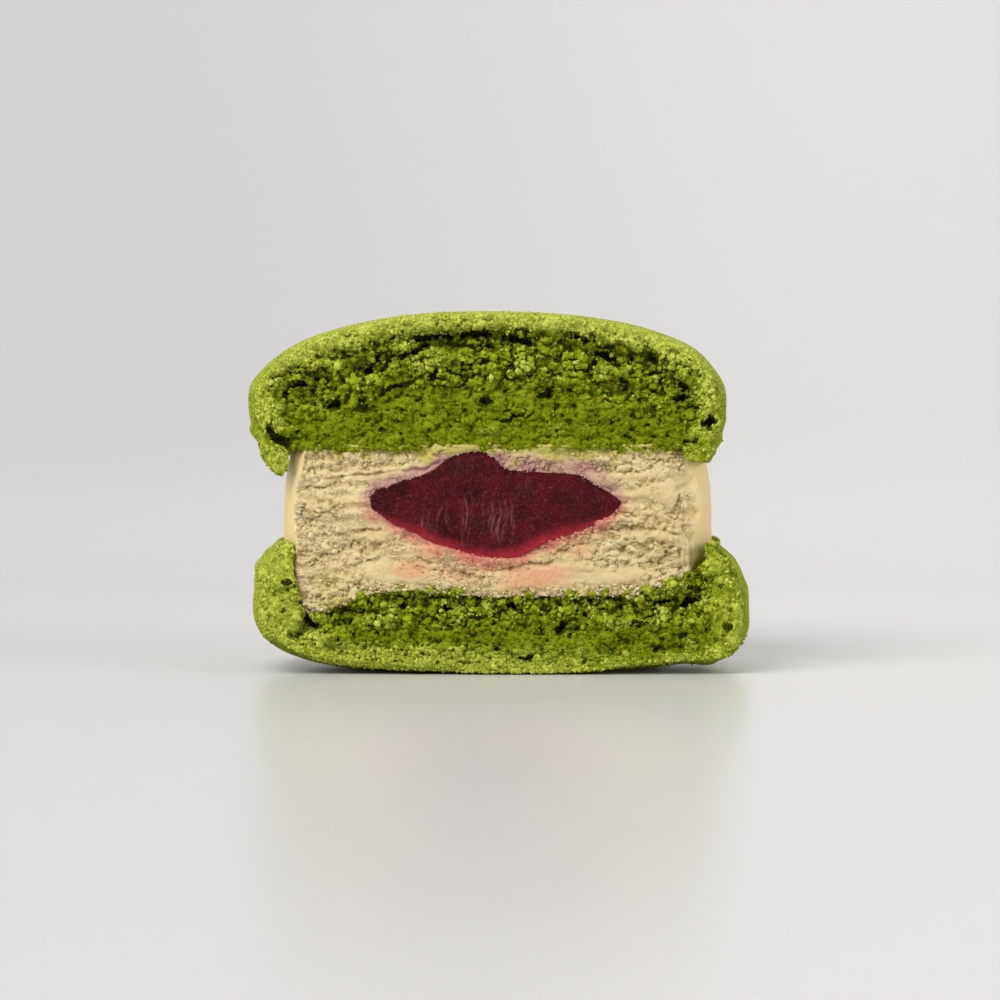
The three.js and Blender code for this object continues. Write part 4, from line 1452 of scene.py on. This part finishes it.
@dataclass
class Jelly:
    """The fruit jelly: a flat disc of uneven thickness, whose outline in the cut is drawn from corners."""

    name: str = "jelly"
    radius: float = 14.7
    centre_x: float = -0.5
    centre_z: float = 17.1
    sections: int = 14
    tail_share: float = 0.2
    corner_steps: int = 10
    voxel: float = 0.1
    triangle_limit: int = 110_000
    seed: int = 66
    streak_count: int = 26
    streak_width: float = 0.07
    streak_span: Patch = Patch(-3.4, 15.5, 5.4, 2.2)
    corners: Corners = (
        (-12.9, 17.4), (-12.4, 18.3), (-11.0, 18.9), (-9.5, 19.5), (-7.0, 20.3), (-5.2, 21.6),
        (-4.0, 22.2), (-2.2, 22.5), (-1.0, 22.1), (0.0, 21.3), (0.8, 20.8), (2.0, 20.5), (4.5, 20.3),
        (6.4, 20.2), (8.0, 20.0), (9.2, 19.4), (10.0, 18.7), (10.9, 18.2), (11.8, 17.4), (11.5, 16.6),
        (10.4, 15.7), (9.0, 14.9), (7.0, 14.1), (4.5, 13.3), (2.0, 12.0), (0.0, 11.7), (-2.0, 11.8),
        (-4.0, 12.3), (-6.0, 13.0), (-8.0, 13.9), (-10.0, 14.9), (-11.5, 15.8), (-12.6, 16.7),
    )
    relief: tuple[Layer, ...] = (
        Layer("CLOUDS", 0.8, 0.3, "face", "Y", 3),
        Layer("VORONOI", 0.32, -0.07, "face"),
    )
    finish: JellyFinish = field(default_factory=JellyFinish)

    def outline(self) -> np.ndarray:
        """X and Z of the outline in the cut, as a smooth closed line."""
        closed = [self.corners[-1], *self.corners, self.corners[0], self.corners[1]]
        line = smooth_path(closed, self.corner_steps)
        return np.array(line[self.corner_steps:-2 * self.corner_steps])

    def body(self, name: str, grow: float, front: float) -> bpy.types.Object:
        """The solid disc behind the outline.

        Args:
            name: the new object's name.
            grow: how much larger than the jelly it is, in millimetres.
            front: how far it stands in front of the cut.

        Returns:
            A closed piece.
        """
        outline = self.outline()
        centre = np.array([self.centre_x, self.centre_z])
        outward = outline - centre
        outward /= np.linalg.norm(outward, axis=1)[:, None]
        ring = outline + outward * grow
        bpy.ops.object.select_all(action="DESELECT")
        bpy.ops.mesh.primitive_circle_add(vertices=len(ring), radius=1.0, fill_type="NGON")
        piece = bpy.context.object
        piece.name = piece.data.name = name
        flat = np.full(len(ring), CUT_Y - front)
        move_points(piece, np.stack([ring[:, 0], flat, ring[:, 1]], axis=1))
        bpy.ops.object.mode_set(mode="EDIT")
        bpy.ops.mesh.select_all(action="SELECT")
        depth = CUT_OFFSET + self.radius + grow
        pivot = Vector((self.centre_x, CUT_Y, self.centre_z))
        bpy.ops.mesh.extrude_region_move(TRANSFORM_OT_translate={"value": (0, front, 0)})
        before = 1.0
        shares = [math.sin(section / self.sections * math.pi / 2) for section in range(self.sections + 1)]
        for last, share in zip(shares, shares[1:]):
            behind = depth * share
            reach = abs(behind - CUT_OFFSET) / (self.radius + grow)
            chord = math.sqrt(max(0.0, 1 - reach**2) / (1 - (CUT_OFFSET / self.radius) ** 2))
            wide = max(chord, self.tail_share)
            step = depth * (share - last)
            bpy.ops.mesh.extrude_region_move(TRANSFORM_OT_translate={"value": (0, step, 0)})
            tall = min(wide, 1.0) / min(before, 1.0)
            bpy.ops.transform.resize(value=(wide / before, 1.0, tall), center_override=pivot)
            before = wide
        bpy.ops.mesh.select_all(action="SELECT")
        bpy.ops.mesh.normals_make_consistent(inside=False)
        bpy.ops.object.mode_set(mode="OBJECT")
        return piece

    def beyond(self, points: np.ndarray) -> np.ndarray:
        """Distance in the cut from the outline to each point, whichever side it is on."""
        outline = self.outline()
        nearest = np.full(len(points), 99.0)
        for x, z in outline:
            nearest = np.minimum(nearest, np.hypot(points[:, 0] - x, points[:, 2] - z))
        return nearest

    def marked(self, points: np.ndarray) -> np.ndarray:
        """How strongly the knife's pale streaks show: bent, nearly upright and broken lines.

        Args:
            points: places in millimetres, one row each.

        Returns:
            A share from 0 to 1 for each point.
        """
        rng = np.random.default_rng(self.seed)
        x = points[:, 0] + 0.07 * noise(points, 0.5, 61) + 0.2 * noise(points, 2.4, 67)
        broken = 0.15 + 0.85 * ramp(noise(points, (0.5, 9.0, 0.9), 62), -0.5, 0.5)
        span = self.streak_span
        result = np.zeros(len(points))
        for _ in range(self.streak_count):
            middle = span.x + span.half_width * rng.uniform(-1, 1)
            height = span.z + span.half_height * 0.5 * rng.uniform(-1, 1)
            half = rng.uniform(0.9, 2.4)
            bend, lean = rng.uniform(-0.4, 0.4), rng.uniform(-0.2, 0.2)
            up = (points[:, 2] - height) / half
            line = middle + bend * (up**2 - 0.4) + lean * up
            faint = rng.uniform(0.3, 1.0)
            near = np.exp(-(((x - line) / self.streak_width) ** 2))
            result = np.maximum(result, faint * near * np.exp(-(up**4)))
        return result * broken

    def build(self) -> list[bpy.types.Object]:
        """Makes the finished jelly."""
        piece = self.body("jelly_heart", 0.0, -0.15)
        modify(piece, "REMESH", mode="VOXEL", voxel_size=self.voxel)
        points = points_of(piece)
        on_face = 1 - ramp(points[:, 1] - CUT_Y, 0.6, 1.2)
        streaks = self.marked(points)
        drag = noise(points, (0.5, 9.0, 3.5), 63) * 0.1 + noise(points, (3.5, 9.0, 2.5), 64) * 0.25
        points[:, 1] += on_face * (drag - 0.1 * streaks)
        move_points(piece, points)
        weigh(piece, "face", on_face)
        roughen(piece, self.relief)
        thinned(piece, 1 - on_face, self.triangle_limit)
        points = points_of(piece)
        edge = self.beyond(points)
        low = 1 - ramp(points[:, 2], 14.8, 17.0)
        fuzzy = 0.14 * noise(points, 0.35, 65) + 0.16 * noise(points, 1.6, 68)
        on_face = 1 - ramp(points[:, 1] - CUT_Y, 1.0, 1.8)
        middle = 0.6 + 0.4 * np.exp(-((points[:, 0] / 7.0) ** 2))
        record_field(piece, "rim", (1 - ramp(edge + fuzzy, -0.3, 0.5 + 0.9 * low)) * low * middle * on_face)
        record_field(piece, "marked", self.marked(points) * on_face)
        return [finished(piece, self.finish.material(), self.name)]


@dataclass
class Cream:
    """The buttercream: a thick round whose wall bulges, torn and smeared where the knife went through."""

    jelly: Jelly
    name: str = "cream"
    centre_x: float = -0.2
    bulge_radius: float = 21.8
    bulge: float = 16.0
    top_radius: float = 20.7
    top: float = 23.1
    low_radius: float = 21.7
    low: float = 11.0
    bottom_radius: float = 20.6
    bottom: float = 7.9
    voxel: float = 0.12
    turns: int = 160
    triangle_limit: int = 195_000
    small_curds: int = 6600
    large_curds: int = 110
    seam_curds: int = 420
    fringe_curds: int = 1300
    tuft_curds: int = 500
    tears: tuple[Patch, ...] = ovals(
        (-13.6, 20.3, 3.6, 0.5, 0.75, 7), (-8.0, 21.0, 2.2, 0.4, 0.6, 12), (-18.3, 19.0, 1.4, 0.4, 0.6, 8),
        (-13.0, 14.7, 1.8, 0.5, 0.7, 2), (-16.6, 14.2, 1.2, 0.4, 0.5, -8),
        (-15.0, 17.6, 1.7, 0.45, 0.45, -3), (-16.0, 12.6, 3.4, 0.5, 0.6, 24),
        (-13.6, 11.5, 3.0, 0.4, 0.5, 20), (13.6, 20.7, 2.6, 0.45, 0.7, 10),
        (11.3, 19.1, 1.0, 0.35, 0.7, 20), (10.5, 20.2, 0.5, 0.9, 0.6, 70), (12.0, 14.8, 2.0, 0.4, 0.65, 4),
        (16.4, 14.6, 1.9, 0.4, 0.65, -6), (14.0, 13.4, 2.2, 0.5, 0.6, 20), (16.4, 12.2, 1.7, 0.5, 0.6, 50),
        (13.4, 11.8, 2.4, 0.4, 0.5, 30), (2.8, 11.1, 4.2, 0.4, 0.6, 10), (-5.0, 10.8, 4.6, 0.4, 0.5, -16),
        (6.4, 12.7, 1.6, 0.35, 0.6, 24), (17.6, 17.4, 1.2, 0.4, 0.7, 60), (18.4, 19.4, 1.4, 0.4, 0.5, 50),
        (19.0, 16.6, 1.6, 0.4, 0.4, 76), (18.4, 13.9, 1.3, 0.35, 0.35, 118), (8.6, 16.0, 1.4, 0.35, 0.5, 8),
    )
    plates: tuple[Patch, ...] = ovals(
        (-11.4, 20.2, 5.4, 0.55, 1.0, 5), (-12.8, 14.0, 1.6, 0.5), (-10.2, 10.0, 3.6, 0.8, 1.0, -4),
        (4.6, 9.7, 4.4, 1.2, 1.0, 4), (11.4, 9.9, 3.2, 0.9, 1.0, 4), (14.6, 20.0, 2.2, 0.5, 1.0, 6),
        (16.8, 18.2, 1.4, 1.2), (16.0, 14.0, 3.0, 0.45), (19.2, 12.4, 1.1, 1.8, 1.0, 10),
    )
    swirl: Patch = Patch(14.0, 12.6, 3.2, 1.8)
    scratched: Patch = Patch(18.6, 12.0, 1.8, 3.2)
    drips: tuple[tuple[float, float, float], ...] = (  # X, half width and length
        (-16.2, 0.8, 0.5), (-10.6, 0.6, 0.5), (-7.4, 0.9, 1.2), (9.0, 4.4, 0.45), (5.2, 0.9, 0.6),
    )
    blushes: tuple[Patch, ...] = ovals(
        (-8.9, 10.4, 1.9, 0.8, 0.85), (3.6, 9.9, 3.6, 1.2, 0.9, 4), (-7.0, 12.2, 1.8, 0.8, 0.6, -24),
        (-4.0, 10.4, 2.4, 0.9, 0.5), (8.0, 12.6, 1.2, 0.8, 0.6),
    )
    stains: tuple[Patch, ...] = ovals(
        (-17.4, 8.6, 1.3, 1.8, 0.3, 10), (-16.8, 7.3, 1.5, 0.7, 0.6, 20), (1.6, 21.4, 0.3, 0.3, 0.9),
        (-13.2, 22.0, 0.5, 0.4, 0.7), (11.6, 21.6, 0.5, 0.6, 0.5),
    )
    lumps: tuple[Patch, ...] = ovals(
        (-15.6, 8.9, 0.55, 0.5), (-14.6, 8.3, 0.4, 0.4), (13.3, 8.5, 0.6, 0.5), (14.9, 8.4, 0.5, 0.5),
        (-1.4, 9.3, 0.4, 0.4), (-19.0, 13.3, 0.35, 0.35), (10.4, 21.5, 0.3, 0.3), (14.0, 21.5, 0.35, 0.35),
    )
    relief: tuple[Layer, ...] = (
        Layer("CLOUDS", 0.8, 0.55, "rough", octaves=5),
        Layer("VORONOI", 0.6, -0.2, "rough"),
        Layer("VORONOI", 0.34, -0.17, "rough"),
        Layer("VORONOI", 0.22, -0.1, "rough"),
    )
    finish: CreamFinish = field(default_factory=CreamFinish)

    def wall_radius(self, z: float) -> float:
        """Radius of the wall at a height."""
        if z >= self.bulge:
            share = (z - self.bulge) / (self.top - self.bulge)
            return self.bulge_radius - (self.bulge_radius - self.top_radius) * share**2
        share = (self.bulge - z) / (self.bulge - self.low)
        return self.bulge_radius - (self.bulge_radius - self.low_radius) * share**2

    def outline(self) -> list[tuple[float, float]]:
        """Radius and height of the outline's corners."""
        heights = np.linspace(self.low, self.top, 26)
        wall = [(self.wall_radius(z), z) for z in heights]
        base = [(radius, self.bottom) for radius in (0.0, 8.0, 14.0, self.bottom_radius - 0.8)]
        corner = smooth_path([base[-1], (self.bottom_radius + 0.4, self.bottom + 0.9), wall[0]], 5)
        return [*base[:-1], *corner[:-1], *wall, (12.0, self.top), (0.0, self.top)]

    def blank(self) -> bpy.types.Object:
        """The cut round with the jelly's pocket in it."""
        piece = spun("buttercream", self.outline(), self.turns)
        points = points_of(piece)
        radius = np.hypot(points[:, 0], points[:, 1])
        points[:, 2] -= pressed(points)
        swell = 1 + noise(points, (9.0, 9.0, 4.0), 71) * 0.12 / np.maximum(radius, 1.0) * (radius > 15)
        points[:, :2] *= swell[:, None]
        move_points(piece, points + (self.centre_x, AXIS_Y, 0.0))
        knife(piece)
        tool = self.jelly.body("pocket", -0.06, 2.0)
        modify(piece, "BOOLEAN", operation="DIFFERENCE", solver="MANIFOLD", object=tool)
        bpy.data.objects.remove(tool)
        return piece

    def torn(self, points: np.ndarray) -> np.ndarray:
        """How far the knife's tears set the face back: sharp at their upper edge and fading below it.

        Args:
            points: places in millimetres, one row each.

        Returns:
            A depth in millimetres for each point.
        """
        depth = np.zeros(len(points))
        wander = noise(points, (1.1, 9.0, 1.1), 72) * 0.3 + noise(points, (0.5, 9.0, 0.5), 78) * 0.16
        bridged = 0.4 + 0.6 * ramp(noise(points, (0.8, 9.0, 0.8), 84), -0.45, 0.1)
        for tear in self.tears:
            turn = math.radians(tear.tilt)
            x, z = points[:, 0] - tear.x, points[:, 2] - tear.z
            along = x * math.cos(turn) + z * math.sin(turn)
            under = x * math.sin(turn) - z * math.cos(turn) + wander
            shape = ramp(under, -0.06, 0.1) * np.exp(-np.maximum(under, 0) / (tear.half_height * 1.3))
            depth = np.maximum(depth, tear.depth * shape * np.exp(-((along / tear.half_width) ** 4)))
        return depth * bridged

    def half_face(self, points: np.ndarray) -> np.ndarray:
        """Half the cut face's width at each point's height."""
        heights = np.linspace(self.low, self.top, 20)
        walls = [self.wall_radius(z) for z in heights]
        wall = np.interp(np.clip(points[:, 2], self.low, self.top), heights, walls)
        return np.sqrt(wall**2 - CUT_OFFSET**2)

    def inner(self, points: np.ndarray) -> np.ndarray:
        """0 at the face's two ends, where the wall's smooth film folds over the cut, and 1 between them."""
        half = self.half_face(points)
        wavy = 0.4 * noise(points * (0, 0, 1), 1.6, 79)
        x = points[:, 0] - self.centre_x
        left = ramp(x + half + 0.5 * wavy, -0.1, 0.25)
        right = ramp(half - x + wavy, 0.3, 1.0)
        return left * right

    def rounding(self, points: np.ndarray) -> np.ndarray:
        """How far the face's right end stands back, so that it runs round into the wall."""
        left_over = self.half_face(points) - (points[:, 0] - self.centre_x)
        bend = np.clip(1 - left_over / 3.2, 0.0, 1.0) ** 2
        return 1.9 * bend * np.clip(1 - (points[:, 1] - CUT_Y) / 5.0, 0.0, 1.0)

    def sculpt(self, piece: bpy.types.Object) -> None:
        """Tears, smears and scratches the face and makes it rough between its smooth plates.

        Args:
            piece: the cut cream, which is changed.
        """
        modify(piece, "REMESH", mode="VOXEL", voxel_size=self.voxel)
        points = points_of(piece)
        on_face = 1 - ramp(points[:, 1] - CUT_Y, 0.35, 0.9)
        level = points * (1, 0, 1)
        plates = np.maximum(presence(self.plates, points), 1 - self.inner(points))
        right = 0.15 * ramp(points[:, 0], 8.0, 13.0)
        rough = ramp(noise(level, (3.6, 9.0, 1.5), 73) + right, -0.5, 0.4) * (1 - plates)
        smear = noise(level, (5.0, 9.0, 0.9), 74) * 0.2 + noise(level, (2.6, 9.0, 0.6), 75) * 0.2
        x, z = points[:, 0] - self.swirl.x, points[:, 2] - self.swirl.z
        turning = np.hypot(x / self.swirl.half_width, z / self.swirl.half_height)
        swirl = np.sin(turning * 9 + np.arctan2(z, x)) * presence((self.swirl,), points) * 0.25
        border, lump = cells(level, (1.5, 1.0, 0.65), 85)
        curdled = 0.24 * (1 - ramp(border, 0.0, 0.3)) + 0.26 * (lump - 0.5)
        smear += curdled * (0.3 + 0.7 * rough)
        scratch = noise(points, (0.3, 9.0, 3.0), 80) * presence((self.scratched,), points) * 0.22
        calm = 1 - 0.7 * plates
        torn = 0.95 * self.torn(points)
        points[:, 1] += on_face * (0.15 + torn + (smear + swirl) * calm + scratch - 0.1 * plates)
        points[:, 1] += self.rounding(points)
        move_points(piece, points)
        weigh(piece, "rough", on_face * (0.12 + 0.88 * rough))
        roughen(piece, self.relief)

    def tints(self, points: np.ndarray) -> dict[str, np.ndarray]:
        """The colours that jelly and biscuit lend to the cream.

        Args:
            points: places in millimetres, one row each.

        Returns:
            For each colour's name, its share at each point.
        """
        x, z = points[:, 0], points[:, 2]
        front = 1 - ramp(points[:, 1] - CUT_Y, 0.9, 1.8)
        level = points * (1, 0, 1)
        edge = self.jelly.beyond(points) + 0.2 * noise(level, 0.5, 81)
        patchy = ramp(noise(level, 1.3, 76), -0.5, 0.5)
        above = ramp(z, 16.5, 18.0)
        shoulder = np.exp(-(((x - 6.4) / 4.6) ** 4)) * above
        blush = (1 - ramp(edge, 0.5, 2.2)) * (1 - above) * (0.5 + 0.4 * patchy)
        reach = 0.25 + 0.3 * noise(points * (1, 0, 0), 0.8, 77)
        for middle, half, length in self.drips:
            reach += length * np.exp(-(((x - middle) / half) ** 4))
        return {
            "mauve": (1 - ramp(edge, 0.3, 1.6 + 1.4 * shoulder)) * above * (0.7 + 0.3 * patchy) * front,
            "red": (1 - ramp(edge, -0.1, 0.9 + 0.7 * patchy)) * (1 - above) * 0.85 * front,
            "blush": np.maximum(blush, presence(self.blushes, points)) * front,
            "stain": np.maximum(ramp(z + reach, 22.1, 22.9) * 0.72, presence(self.stains, points) * front),
        }

    def note_fields(self, piece: bpy.types.Object) -> None:
        """Stores what the finish reads: the cut, its relief, and the tints beside jelly and crumb."""
        points = points_of(piece)
        front = 1 - ramp(points[:, 1] - CUT_Y, 0.9, 1.8)
        inner = self.inner(points)
        record_field(piece, "cut", front * inner)
        record_field(piece, "relief", relief_of(piece, 6) * front)
        record_field(piece, "tone", 0.5 + 0.5 * noise(points, (1.2, 1.2, 0.5), 82))
        for name, values in self.tints(points).items():
            record_field(piece, name, values)

    def strew(self, piece: bpy.types.Object, material: bpy.types.Material) -> bpy.types.Object:
        """Makes the curds that the knife tore loose and left on the face.

        Args:
            piece: the cream that they lie on.
            material: its finish, which they share.

        Returns:
            All the curds as one finished piece.
        """
        grit = Grit(piece, 70, ("cut", "relief", "mauve", "red", "blush", "stain"))
        points = grit.points
        # Curds are counted a little raised, so they take some painted highlight and less painted shade.
        grit.values["relief"] = np.maximum(grit.values["relief"] + 0.06, 0.0)
        face = (1 - ramp(points[:, 1] - CUT_Y, 0.8, 1.5)) * (grit.normals[:, 1] < 0.2) * (points[:, 2] < 22.6)
        plates = np.maximum(presence(self.plates, points), 1 - self.inner(points))
        clumps = ramp(noise(points, (1.8, 9.0, 0.8), 83), -0.5, 0.5)
        rough = face * (0.03 + clumps) * (1 - plates)
        edge = self.jelly.beyond(points)
        grit.add(rough, self.small_curds, (0.06, 0.15), 0.45)
        grit.add(rough**2, self.large_curds, (0.12, 0.24), 0.2, 2)
        fringe = face * (1 - ramp(edge, 0.05, 0.45))
        grit.add(fringe, self.fringe_curds, (0.06, 0.12), 0.9)
        floor = self.bottom - pressed(points - (self.centre_x, AXIS_Y, 0.0))
        at_seam = face * (1 - ramp(np.abs(points[:, 2] - floor - 0.5), 0.3, 0.7)) * (0.1 + clumps)
        grit.add(at_seam, self.seam_curds, (0.08, 0.22), 2.0)
        upper_right = ramp(points[:, 2], 18.0, 19.0) * ramp(points[:, 0], -2.0, 1.0)
        tufts = face * (1 - ramp(edge, 0.1, 0.7)) * upper_right
        grit.add(tufts, self.tuft_curds, (0.07, 0.13), 0.9, shape=(0.8, 0.8, 2.4))
        for lump in self.lumps:
            grit.add(close_to(lump, points, 0.03) * face, 1, (lump.half_width, lump.half_width), 0.4, 3)
            grit.add(close_to(lump, points, 0.5) * face, 7, (0.15, 0.35), 0.6, 2)
        return finished(grit.piece("cream_curds"), material)

    def build(self) -> list[bpy.types.Object]:
        """Makes the finished buttercream and its curds."""
        piece = self.blank()
        self.sculpt(piece)
        thinned(piece, ramp(points_of(piece)[:, 1] - CUT_Y, 1.5, 3.0), self.triangle_limit)
        self.note_fields(piece)
        material = self.finish.material()
        curds = self.strew(piece, material)
        return [finished(piece, material, self.name), curds]


# ---------------------------------------------------------------- the studio


class Side(Enum):
    """Where a soft light stands, as the direction from the food to the light."""

    KEY = (-0.5, -0.75, 0.85)
    LEFT = (-0.95, -0.45, 0.2)
    RIGHT = (1.0, -0.5, 0.3)
    TOP = (0.05, 0.25, 1.0)


class Lamp(NamedTuple):
    """One soft light: where it stands, how far off and how wide in metres, its watts and its colour."""

    side: Side
    distance: float
    size: float
    watts: float
    colour: Colour


@dataclass
class Studio:
    """A pale seamless floor and wall with painted light and shade, soft lights, and the camera at the food's
    own height.
    """

    distance: float = 400.0
    elevation: float = 2.6
    aim_z: float = 17.55
    frame_width: float = 100.0
    sensor: float = 36.0
    sheet_half: float = 1.6
    sheet_front: float = -1.2
    sheet_back: float = 0.42
    sheet_high: float = 1.6
    sheet_bend: float = 0.3
    lamps: tuple[Lamp, ...] = (
        Lamp(Side.KEY, 0.7, 0.42, 4.1, (1.0, 0.985, 0.96)),
        Lamp(Side.LEFT, 0.8, 0.6, 1.9, (1.0, 0.99, 0.97)),
        Lamp(Side.RIGHT, 0.9, 0.6, 3.7, (0.99, 0.99, 1.0)),
        Lamp(Side.TOP, 0.8, 0.6, 0.7, (1.0, 1.0, 1.0)),
    )
    air: tuple[float, float, float, float] = (0.93, 0.94, 0.96, 1.0)
    air_strength: float = 0.26
    # Painted light and shade: the backdrop's left and right colours on the front floor, the floor behind, and
    # the wall.
    front_painted_shading: tuple[Colour, Colour] = ((0.558, 0.552, 0.562), (0.678, 0.668, 0.662))
    back_painted_shading: tuple[Colour, Colour] = ((0.706, 0.697, 0.706), (0.804, 0.792, 0.782))
    wall_painted_shading: tuple[Colour, Colour] = ((0.624, 0.616, 0.624), (0.752, 0.741, 0.732))

    def camera(self) -> None:
        """Creates the camera at the cut face's own scale."""
        aim = Vector((0, CUT_Y, self.aim_z)) * MM
        tilt = math.radians(self.elevation)
        offset = Vector((0, -math.cos(tilt), math.sin(tilt))) * self.distance * MM
        data = bpy.data.cameras.new("camera")
        data.sensor_width = self.sensor
        data.lens = self.sensor * self.distance / self.frame_width
        data.clip_start = 0.01
        camera = bpy.data.objects.new("camera", data)
        bpy.context.scene.collection.objects.link(camera)
        camera.location = aim + offset
        camera.rotation_euler = (math.pi / 2 - tilt, 0, 0)
        bpy.context.scene.camera = camera

    def backdrop(self) -> None:
        """Builds the floor that curves up into the wall, coloured with painted light and shade: darker to the
        left and at the front, lighter to the right and behind.
        """
        bpy.ops.object.select_all(action="DESELECT")
        bpy.ops.mesh.primitive_plane_add(size=1.0)
        sheet = bpy.context.object
        sheet.name = "backdrop"
        ends, sides = (self.sheet_front, self.sheet_back), (-self.sheet_half, self.sheet_half)
        corners = [(x, y, 0) for y in ends for x in sides]
        move_points(sheet, np.array(corners))
        for edge in sheet.data.edges:
            edge.select = all(sheet.data.vertices[i].co.y > 0 for i in edge.vertices)
        for vertex in sheet.data.vertices:
            vertex.select = vertex.co.y > 0
        sheet.data.polygons[0].select = False
        bpy.ops.object.mode_set(mode="EDIT")
        bpy.ops.mesh.select_mode(type="EDGE")
        bpy.ops.mesh.extrude_region_move(TRANSFORM_OT_translate={"value": (0, 0, self.sheet_high)})
        bpy.ops.object.mode_set(mode="OBJECT")
        modify(sheet, "BEVEL", width=self.sheet_bend, segments=24, limit_method="ANGLE")
        alone(sheet)
        bpy.ops.object.shade_smooth()
        shader = Shader("backdrop_card")
        place = shader.nodes.new("ShaderNodeSeparateXYZ")
        shader.links.new(shader.place, place.inputs[0])
        # Painted light and shade: the backdrop's colour is blended from left to right, front to back, and up
        # the wall.
        sideways = shader.spread(place.outputs[0], -0.08, 0.08)
        shades = (self.front_painted_shading, self.back_painted_shading, self.wall_painted_shading)
        front, behind, wall = (shader.mix(sideways, *pair) for pair in shades)
        floor = shader.mix(shader.spread(place.outputs[1], -0.22, 0.12), front, behind)
        colour = shader.mix(shader.spread(place.outputs[2], 0.0, 0.022), floor, wall)
        sheet.data.materials.append(shader.surfaced(colour, 0.27, 0.4))

    def light(self, lamp: Lamp) -> None:
        """Hangs one soft light."""
        data = bpy.data.lights.new(f"light_{lamp.side.name.lower()}", "AREA")
        data.size = lamp.size
        data.energy = lamp.watts
        data.color = lamp.colour
        light = bpy.data.objects.new(data.name, data)
        bpy.context.scene.collection.objects.link(light)
        aim = Vector((0, 0, self.aim_z * MM))
        direction = Vector(lamp.side.value).normalized()
        light.location = aim + direction * lamp.distance
        light.rotation_euler = direction.to_track_quat("Z", "Y").to_euler()

    def build(self) -> None:
        """Sets up the whole studio."""
        self.camera()
        self.backdrop()
        for lamp in self.lamps:
            self.light(lamp)
        world = bpy.data.worlds.new("studio_air")
        world.use_nodes = True
        background = world.node_tree.nodes["Background"]
        background.inputs["Color"].default_value = self.air
        background.inputs["Strength"].default_value = self.air_strength
        bpy.context.scene.world = world
        bpy.context.scene.view_settings.view_transform = "Standard"


def main() -> None:
    """Builds the studio and then the food, piece by piece."""
    logging.basicConfig(level=logging.INFO, format="%(relativeCreated)6d ms  %(message)s")
    Studio().build()
    jelly = Jelly()
    for part in (Lid(), Base(), jelly, Cream(jelly)):
        for piece in part.build():
            log.info("%s is done", piece.name)


if __name__ == "__main__":
    main()
